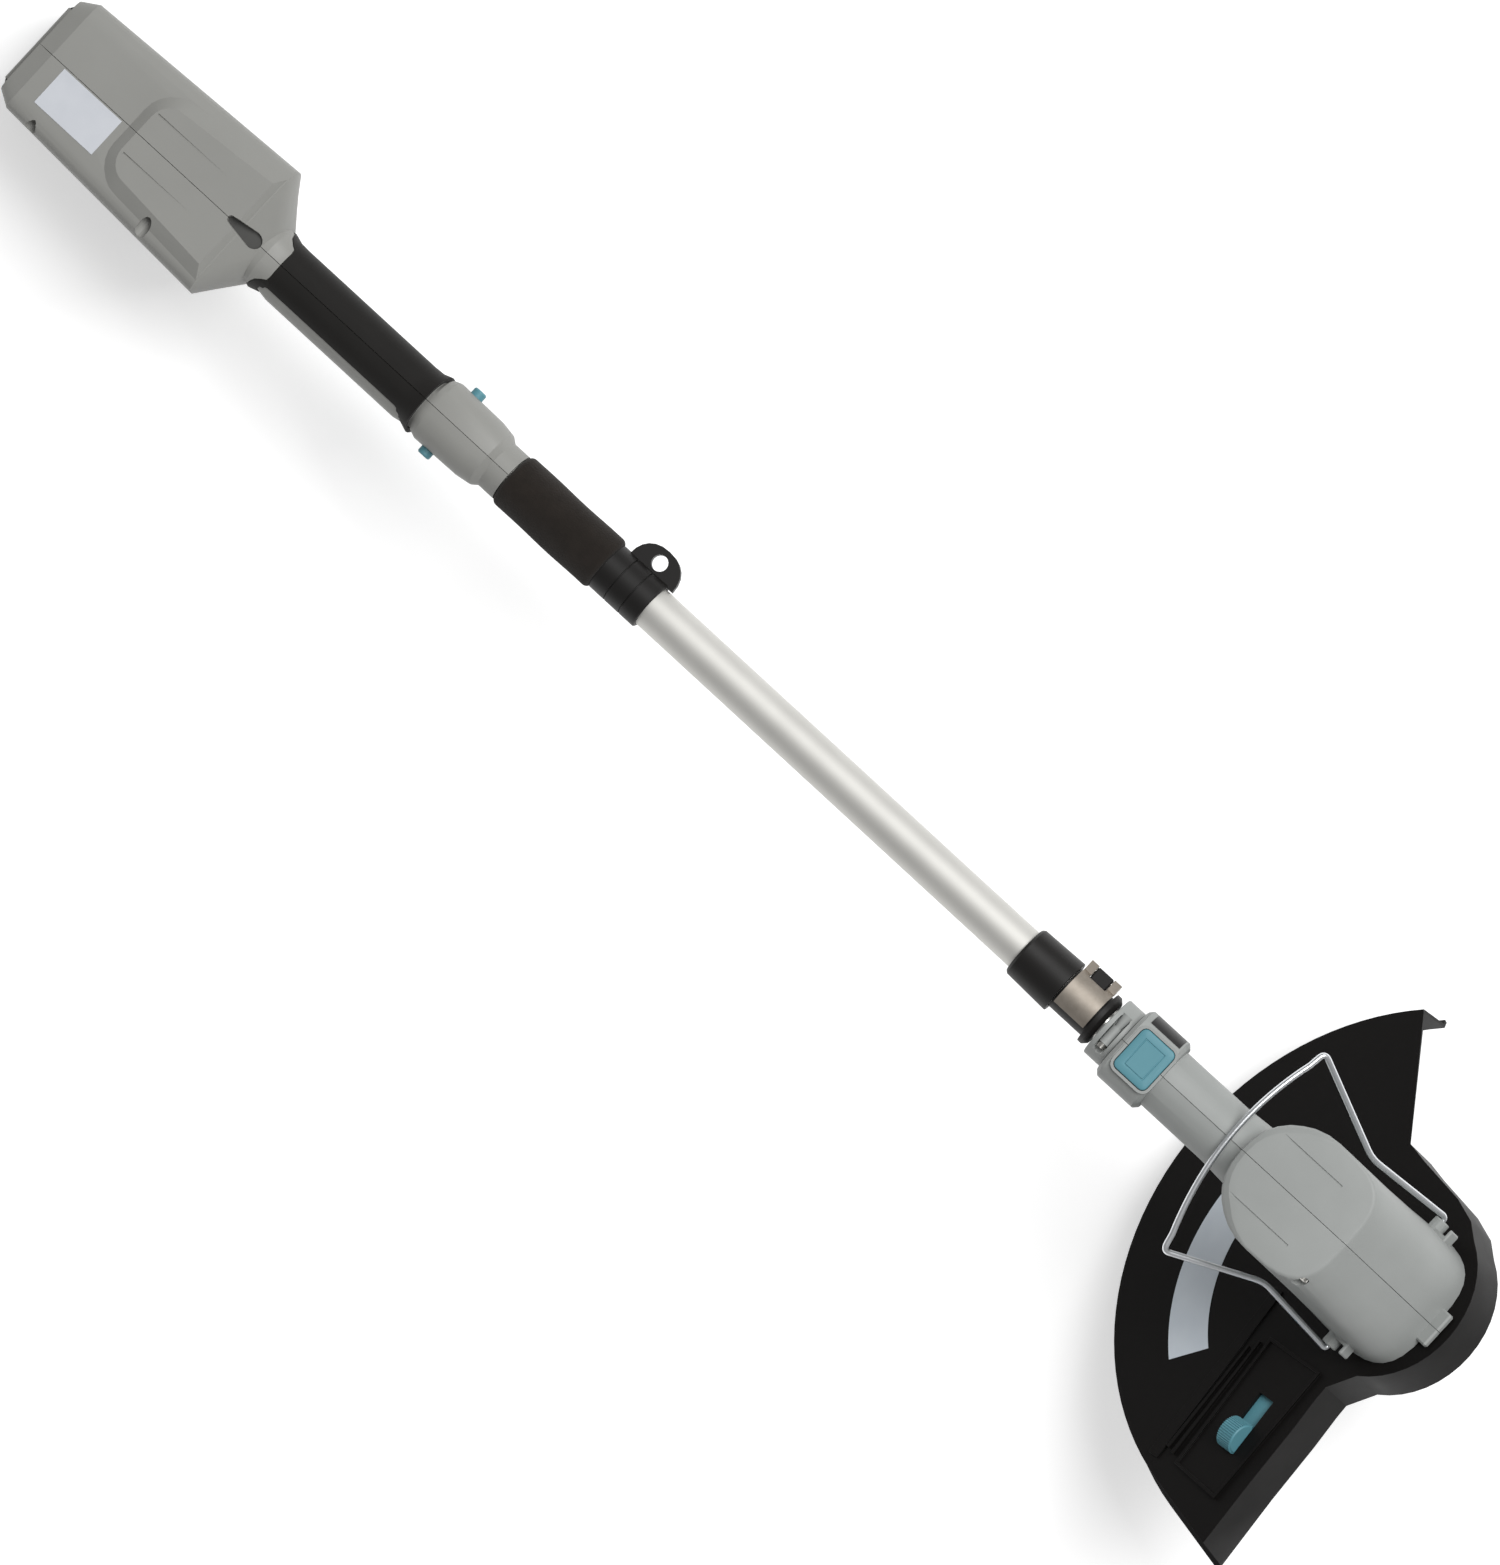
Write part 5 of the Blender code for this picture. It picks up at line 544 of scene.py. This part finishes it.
# Turn button
# A large teal push button in the top of the collar, with a fine groove round its face. Pressed,
# it frees the head's turn; a coil spring lifts it again.

GROOVE_OUTER, GROOVE_WIDTH, GROOVE_DEPTH = 0.0034, 0.0007, 0.0005

turn_button = moulding("head_button", "turn_button", "head_button", pole, teal_abs,
                       edge=0.0002)
work = bmesh.new()
work.from_mesh(turn_button.data)
button_face = max(work.faces, key=lambda face: face.calc_area() * face.normal.z)
button_level = button_face.calc_center_median().z
button_middle = button_face.calc_center_bounds()
half_length = max(abs(v.co.x - button_middle.x) for v in button_face.verts)
half_width = max(abs(v.co.y) for v in button_face.verts)
rim_edges = list(button_face.edges)
bmesh.ops.delete(work, geom=[button_face], context="FACES_ONLY")
loops = []
for margin, sink in ((GROOVE_OUTER, 0.0), (GROOVE_OUTER, GROOVE_DEPTH),
                     (GROOVE_OUTER + GROOVE_WIDTH, GROOVE_DEPTH), (GROOVE_OUTER + GROOVE_WIDTH, 0.0)):
    half_x, half_y = half_length - margin, half_width - margin
    loops.append([work.verts.new((button_middle.x + sx * half_x, sy * half_y, button_level - sink))
                  for sx, sy in ((-1, -1), (1, -1), (1, 1), (-1, 1))])
for first, second in zip(loops, loops[1:]):
    for k in range(4):
        work.faces.new((first[k], first[(k + 1) % 4], second[(k + 1) % 4], second[k]))
work.faces.new(loops[-1])
hole_edges = [work.edges.get((loops[0][k], loops[0][(k + 1) % 4])) for k in range(4)]
bmesh.ops.triangle_fill(work, use_beauty=True, edges=rim_edges + hole_edges)
bmesh.ops.recalc_face_normals(work, faces=work.faces)
work.to_mesh(turn_button.data)
work.free()
turn_button.data.set_sharp_from_angle(angle=math.radians(USUAL_CREASE))
coil_spring("button_spring", "button_lift_spring", "head", pole)

# Motor
# A direct-current motor: zinc plated can, ferrite magnets, copper wound rotor and two ball
# bearings on a black bracket that is clamped between the head shells.

moulding("motor_bracket", "motor_seat", "head", head, black_abs, edge=0.0)
zinc_can = machined_steel("zinc_plated_can", "B9BBBD", "A2A4A8", roughness=0.30, streak=0.8)
moulding("motor_can", "drawn_can", "head", head, zinc_can, edge=0.0)
ferrite = spark_eroded_abs("sintered_ferrite", "3A3938", "2C2B2A", roughness=0.65, grain=0.8, relief=0.05)
moulding("magnet_ring", "ferrite_ring", "head", head, ferrite, edge=0.0)
copper_wire, copper_tree, copper_shader, copper_place = start_material("enamelled_copper_wire", {
    "Metallic": 1.0, "Roughness": 0.3, "Coat Weight": 0.5})
# The light and dark bands across the windings are painted light on each turn of wire and painted shade
# between the turns.
turn_shade_bands = add_node(copper_tree, "ShaderNodeTexWave", {"Vector": copper_place, "Scale": per_mm(1.6)},
                 bands_direction="Z")
copper_tree.links.new(two_tone(copper_tree, turn_shade_bands.outputs["Fac"], "8A4A28", "B8703E"),
                      copper_shader.inputs["Base Color"])
moulding("rotor", "wound_rotor", "spindle", head, copper_wire, edge=0.0)
for node, name, body in (("bearing_upper", "ball_bearing_upper", "head"),
                         ("bearing_lower", "ball_bearing_lower", "head"),
                         ("motor_shaft", "ground_shaft", "spindle"),
                         ("spindle_driver", "splined_driver", "spindle")):
    moulding(node, name, body, head, bright_steel, edge=0.0)

# Line head
# Under the guard spins a black nylon housing with two steel eyelets and a snap-in lid. The
# spool inside feeds line when its knob is bumped on the ground against a spring.

LINE_DIAMETER = 1.6
# Stretched by this factor, a wave's light and dark bands are each one line's diameter wide. The dark
# bands are painted shade between the turns, and the light ones a painted highlight on them.
BAND_STRETCH = 6.28

moulding("spool_housing", "line_head_case", "spindle", head, black_abs, edge=0.0004)
moulding("spool_lid", "line_head_lid", "spindle", head, black_abs, edge=0.0003)
for side in ("left", "right"):
    moulding("line_eyelet_" + side, "steel_eyelet_" + side, "spindle", head, bright_steel, edge=0.0)
coil_spring("spool_spring", "bump_spring", "spindle", head)
moulding("line_spool", "grey_spool", "spool", head, cool_grey_abs, edge=0.0)
nylon_line, nylon_tree, nylon_shader, nylon_place = start_material("wound_nylon_line", {
    "Roughness": 0.35, "IOR": 1.53})
turn_relief_and_shade = add_node(nylon_tree, "ShaderNodeTexWave", {
    "Vector": nylon_place, "Scale": per_mm(LINE_DIAMETER * BAND_STRETCH)}, bands_direction="Z")
# The line's colour goes darker where the wave is lower: painted shade between the turns of line.
nylon_tree.links.new(two_tone(nylon_tree, turn_relief_and_shade.outputs["Fac"], "8FA08A", "BCCDB4"),
                     nylon_shader.inputs["Base Color"])
wound_bump = add_node(nylon_tree, "ShaderNodeBump", {"Height": turn_relief_and_shade.outputs["Fac"], "Strength": 0.8,
                                                     "Distance": 0.0006})
nylon_tree.links.new(wound_bump.outputs["Normal"], nylon_shader.inputs["Normal"])
moulding("line_winding", "nylon_winding", "spool", head, nylon_line, edge=0.0)
moulding("bump_knob", "feed_knob", "spool", head, black_abs, edge=0.0006)

# Guard
# One large black moulding: a flat plate over the rear of the line's circle, with a skirt round
# its rim. Its faces are matt with a fine grain. Three screws from below hold it to the head.

guard_abs = spark_eroded_abs("black_guard_abs", "12100F", "0D0C0B", roughness=0.46, grain=0.8, relief=0.06,
                             gloss=0.14)
moulding("guard", "guard_moulding", "head", head, guard_abs, edge=0.0007)
for number in (1, 2, 3):
    moulding(f"guard_screw_{number}", f"pan_head_screw_{number}", "head", head, bright_steel,
             edge=0.0)

# Guard sticker
# A curved band of white film, glued on the guard's plate to the rear right of the motor housing.
# It is blank.

STICKER_CENTRE = Vector((0.003, -0.010))
STICKER_INNER, STICKER_OUTER = 0.1025, 0.1268
STICKER_FROM, STICKER_TO = math.radians(186), math.radians(233.5)
STICKER_LIFT, STICKER_THICKNESS = 0.00005, 0.00015
STICKER_STEPS = 24

band = []
for radius, order in ((STICKER_INNER, 1), (STICKER_OUTER, -1)):
    arc = []
    for i in range(STICKER_STEPS + 1):
        angle = STICKER_FROM + (STICKER_TO - STICKER_FROM) * i / STICKER_STEPS
        arc.append((STICKER_CENTRE.x + radius * math.cos(angle),
                    STICKER_CENTRE.y + radius * math.sin(angle)))
    band += arc[::order]
white_film = polyester_film("white_film", "DBE3EA", "D0D9E2", roughness=0.35)
thin_sheet("blank_guard_sticker", band, STICKER_LIFT, STICKER_THICKNESS, head, white_film, "head")

# Line cutter
# A teal slider runs in a slot of the guard and carries the steel blade that trims the line.
# Its thumb wheel shape is ribbed for grip.

TRACK_TURN = math.radians(6.0)
TRAY_FLOOR = 0.0014
THUMB_RADIUS, RIB_HEIGHT, RIB_COUNT = 0.0090, 0.0006, 42
RIB_ROOT = THUMB_RADIUS - RIB_HEIGHT / 6
# Each rib's corners: their share of one rib's width, and whether they stand proud.
RIB_CORNERS = ((0.0, 1), (0.38, 1), (0.5, 0), (0.88, 0))

moulding("blade_slider", "cutter_slider", "line_blade", head, teal_abs, edge=0.0005)
moulding("line_blade", "cutter_blade", "line_blade", head, bright_steel, edge=0.0)
slider_axes = head @ Matrix.Rotation(TRACK_TURN, 4, "Z")
on_track = node_points("blade_slider", slider_axes)
thumb_top = max(p.z for p in on_track)
upper = [p for p in on_track if p.z > thumb_top - THUMB_RADIUS / 2]
thumb_x = [min(p.x for p in upper), max(p.x for p in upper)]
thumb_y = (min(p.y for p in upper) + max(p.y for p in upper)) / 2
work = bmesh.new()
wheel = []
for x in (thumb_x[0] + RIB_HEIGHT, thumb_x[1] - RIB_HEIGHT):
    ring = []
    for tooth in range(RIB_COUNT):
        for share, proud in RIB_CORNERS:
            angle = 2 * math.pi * (tooth + share) / RIB_COUNT
            radius = RIB_ROOT + proud * RIB_HEIGHT
            height = max(TRAY_FLOOR, thumb_top - THUMB_RADIUS + radius * math.cos(angle))
            ring.append(work.verts.new((x, thumb_y + radius * math.sin(angle), height)))
    wheel.append(ring)
for k in range(len(wheel[0])):
    after = (k + 1) % len(wheel[0])
    work.faces.new((wheel[0][k], wheel[1][k], wheel[1][after], wheel[0][after]))
for ring in wheel:
    work.faces.new(ring)
bmesh.ops.recalc_face_normals(work, faces=work.faces)
finish_piece(work, "thumb_ribs", slider_axes, teal_abs, "line_blade")

# Plant guard
# A bent spring-steel wire, bright zinc plated, that turns in the ears of the head. Each leg is
# pressed flat beside its knee, where the bending tool held it.

WIRE_RISE = math.radians(24.0)
WIRE_RADIUS, WIRE_SIDES = 0.00175, 16
LEG_TIP, LEG_NECK, KNEE_SIDE, CORNER_SIDE, BOW_SIDE = 0.0392, 0.0487, 0.0445, 0.0690, 0.0640
KNEE_REACH, CORNER_REACH, BOW_REACH, WIRE_SKEW = 0.0575, 0.1196, 0.1322, 0.0045
NECK_BEND, KNEE_BEND, CORNER_BEND = 0.0030, 0.0060, 0.0046
BOW_STEPS, BEND_STEPS = 24, 8
CRIMP_REACH, CRIMP_HALF_LENGTH, CRIMP_FLAT, CRIMP_WIDE = 0.0410, 0.0035, 0.30, 0.22
WIRE_CREASE = 60

wire_axes = standing_axes(Vector(joints["plant_guard_swing"]["pos_m"]),
                          Vector((-math.cos(WIRE_RISE), 0, math.sin(WIRE_RISE))))
half_wire = [(Vector((0, LEG_TIP)), 0.0), (Vector((0, LEG_NECK)), NECK_BEND),
             (Vector((KNEE_REACH, KNEE_SIDE)), KNEE_BEND),
             (Vector((CORNER_REACH, CORNER_SIDE)), CORNER_BEND)]
bow = []
for step in range(1, BOW_STEPS):
    share = 1 - 2 * step / BOW_STEPS
    bow_x = CORNER_REACH + (BOW_REACH - CORNER_REACH) * (1 - share ** 2)
    bow.append((Vector((bow_x, BOW_SIDE * share)), 0.0))
corners = half_wire + bow + [(Vector((p.x, -p.y)), bend) for p, bend in reversed(half_wire)]
route = []
for k, (corner, bend) in enumerate(corners):
    if not bend:
        route.append(corner)
        continue
    begin = corner + (corners[k - 1][0] - corner).normalized() * bend
    stop = corner + (corners[k + 1][0] - corner).normalized() * bend
    for step in range(BEND_STEPS + 1):
        share = step / BEND_STEPS
        route.append(begin.lerp(corner, share).lerp(corner.lerp(stop, share), share))
route = [Vector((p.x + WIRE_SKEW * p.y / CORNER_SIDE * min(1.0, p.x / CORNER_REACH), p.y)) for p in route]
work = bmesh.new()
rings = []
for k, point in enumerate(route):
    along = (route[min(k + 1, len(route) - 1)] - route[max(k - 1, 0)]).normalized()
    press = max(0.0, 1 - abs(point.x - CRIMP_REACH) / CRIMP_HALF_LENGTH)
    wide, flat = WIRE_RADIUS * (1 + CRIMP_WIDE * press), WIRE_RADIUS * (1 - CRIMP_FLAT * press)
    ring = []
    for side in range(WIRE_SIDES):
        angle = 2 * math.pi * side / WIRE_SIDES
        across = Vector((-along.y, along.x)) * wide * math.cos(angle)
        ring.append(work.verts.new((point.x + across.x, point.y + across.y, flat * math.sin(angle))))
    rings.append(ring)
for first, second in zip(rings, rings[1:]):
    for side in range(WIRE_SIDES):
        after = (side + 1) % WIRE_SIDES
        work.faces.new((first[side], first[after], second[after], second[side]))
for ring in (rings[0], rings[-1]):
    work.faces.new(ring)
bmesh.ops.recalc_face_normals(work, faces=work.faces)
bright_zinc = machined_steel("bright_zinc_wire", "F0F2F4", "D8DBDF", roughness=0.32, streak=0.6)
finish_piece(work, "zinc_wire_loop", wire_axes, bright_zinc, "plant_guard", "plant_guard_wire",
             WIRE_CREASE)

# Studio
# White floor and soft light from above and from the left of the tool, with the camera straight
# above, as for a catalogue picture on white.

FLOOR_REACH, FLOOR_LEVEL = 6.0, -0.0002
FLOOR_GLOW, BACKDROP_STRENGTH = 0.50, 0.30
KEY_PLACE, KEY_AIM = Vector((1.30, 2.2, 4.6)), Vector((0.48, 0.0, 0.1))
KEY_WIDTH, KEY_WATTS = 3.0, 215.0
CAMERA_PLACE, CAMERA_TURN = (0.5128, -0.0342, 4.5175), math.radians(42.67)
CAMERA_FOCAL_PIXELS, PHOTO_HEIGHT_PIXELS = 8000.0, 1565.0
SENSOR_MM, CAMERA_SIGHT = 36.0, 50.0

floor_mesh = bpy.data.meshes.new("studio_floor")
floor_corners = [(FLOOR_REACH * x, FLOOR_REACH * y, FLOOR_LEVEL)
                 for x, y in ((-1, -1), (1, -1), (1, 1), (-1, 1))]
floor_mesh.from_pydata(floor_corners, [], [(0, 1, 2, 3)])
studio_floor = bpy.data.objects.new("studio_floor", floor_mesh)
bpy.context.scene.collection.objects.link(studio_floor)
paper, paper_tree, paper_shader = start_material("white_paper", {
    "Roughness": 0.9, "Base Color": colour("E6E6E6")})[:3]
path = add_node(paper_tree, "ShaderNodeLightPath")
seen = add_node(paper_tree, "ShaderNodeMath", {
    0: path.outputs["Is Camera Ray"], 1: path.outputs["Is Glossy Ray"]}, operation="MAXIMUM")
seen = add_node(paper_tree, "ShaderNodeMath", {
    0: seen.outputs[0], 1: path.outputs["Is Transmission Ray"]}, operation="MAXIMUM")
lift = add_node(paper_tree, "ShaderNodeMath", {0: seen.outputs[0], 1: FLOOR_GLOW}, operation="MULTIPLY")
glow = add_node(paper_tree, "ShaderNodeEmission", {"Color": (1, 1, 1, 1), "Strength": lift.outputs[0]})
both = add_node(paper_tree, "ShaderNodeAddShader", {0: paper_shader.outputs[0], 1: glow.outputs[0]})
paper_tree.links.new(both.outputs[0], paper_tree.nodes["Material Output"].inputs["Surface"])
floor_mesh.materials.append(paper)

world = bpy.data.worlds.new("studio")
bpy.context.scene.world = world
world.use_nodes = True
backdrop = world.node_tree.nodes["Background"]
backdrop.inputs["Color"].default_value = (1, 1, 1, 1)
backdrop.inputs["Strength"].default_value = BACKDROP_STRENGTH

key_lamp = bpy.data.lights.new("key_soft_box", "AREA")
key_lamp.size = KEY_WIDTH
key_lamp.energy = KEY_WATTS
key_soft_box = bpy.data.objects.new("key_soft_box", key_lamp)
bpy.context.scene.collection.objects.link(key_soft_box)
key_soft_box.location = KEY_PLACE
key_soft_box.rotation_euler = (KEY_AIM - KEY_PLACE).to_track_quat("-Z", "Y").to_euler()

camera_data = bpy.data.cameras.new("catalogue_camera")
camera_data.sensor_width = SENSOR_MM
camera_data.lens = CAMERA_FOCAL_PIXELS * SENSOR_MM / PHOTO_HEIGHT_PIXELS
camera_data.clip_end = CAMERA_SIGHT
camera = bpy.data.objects.new("catalogue_camera", camera_data)
bpy.context.scene.collection.objects.link(camera)
camera.location = CAMERA_PLACE
camera.rotation_euler = (0, 0, CAMERA_TURN)
bpy.context.scene.camera = camera
bpy.context.scene.view_settings.view_transform = "Standard"
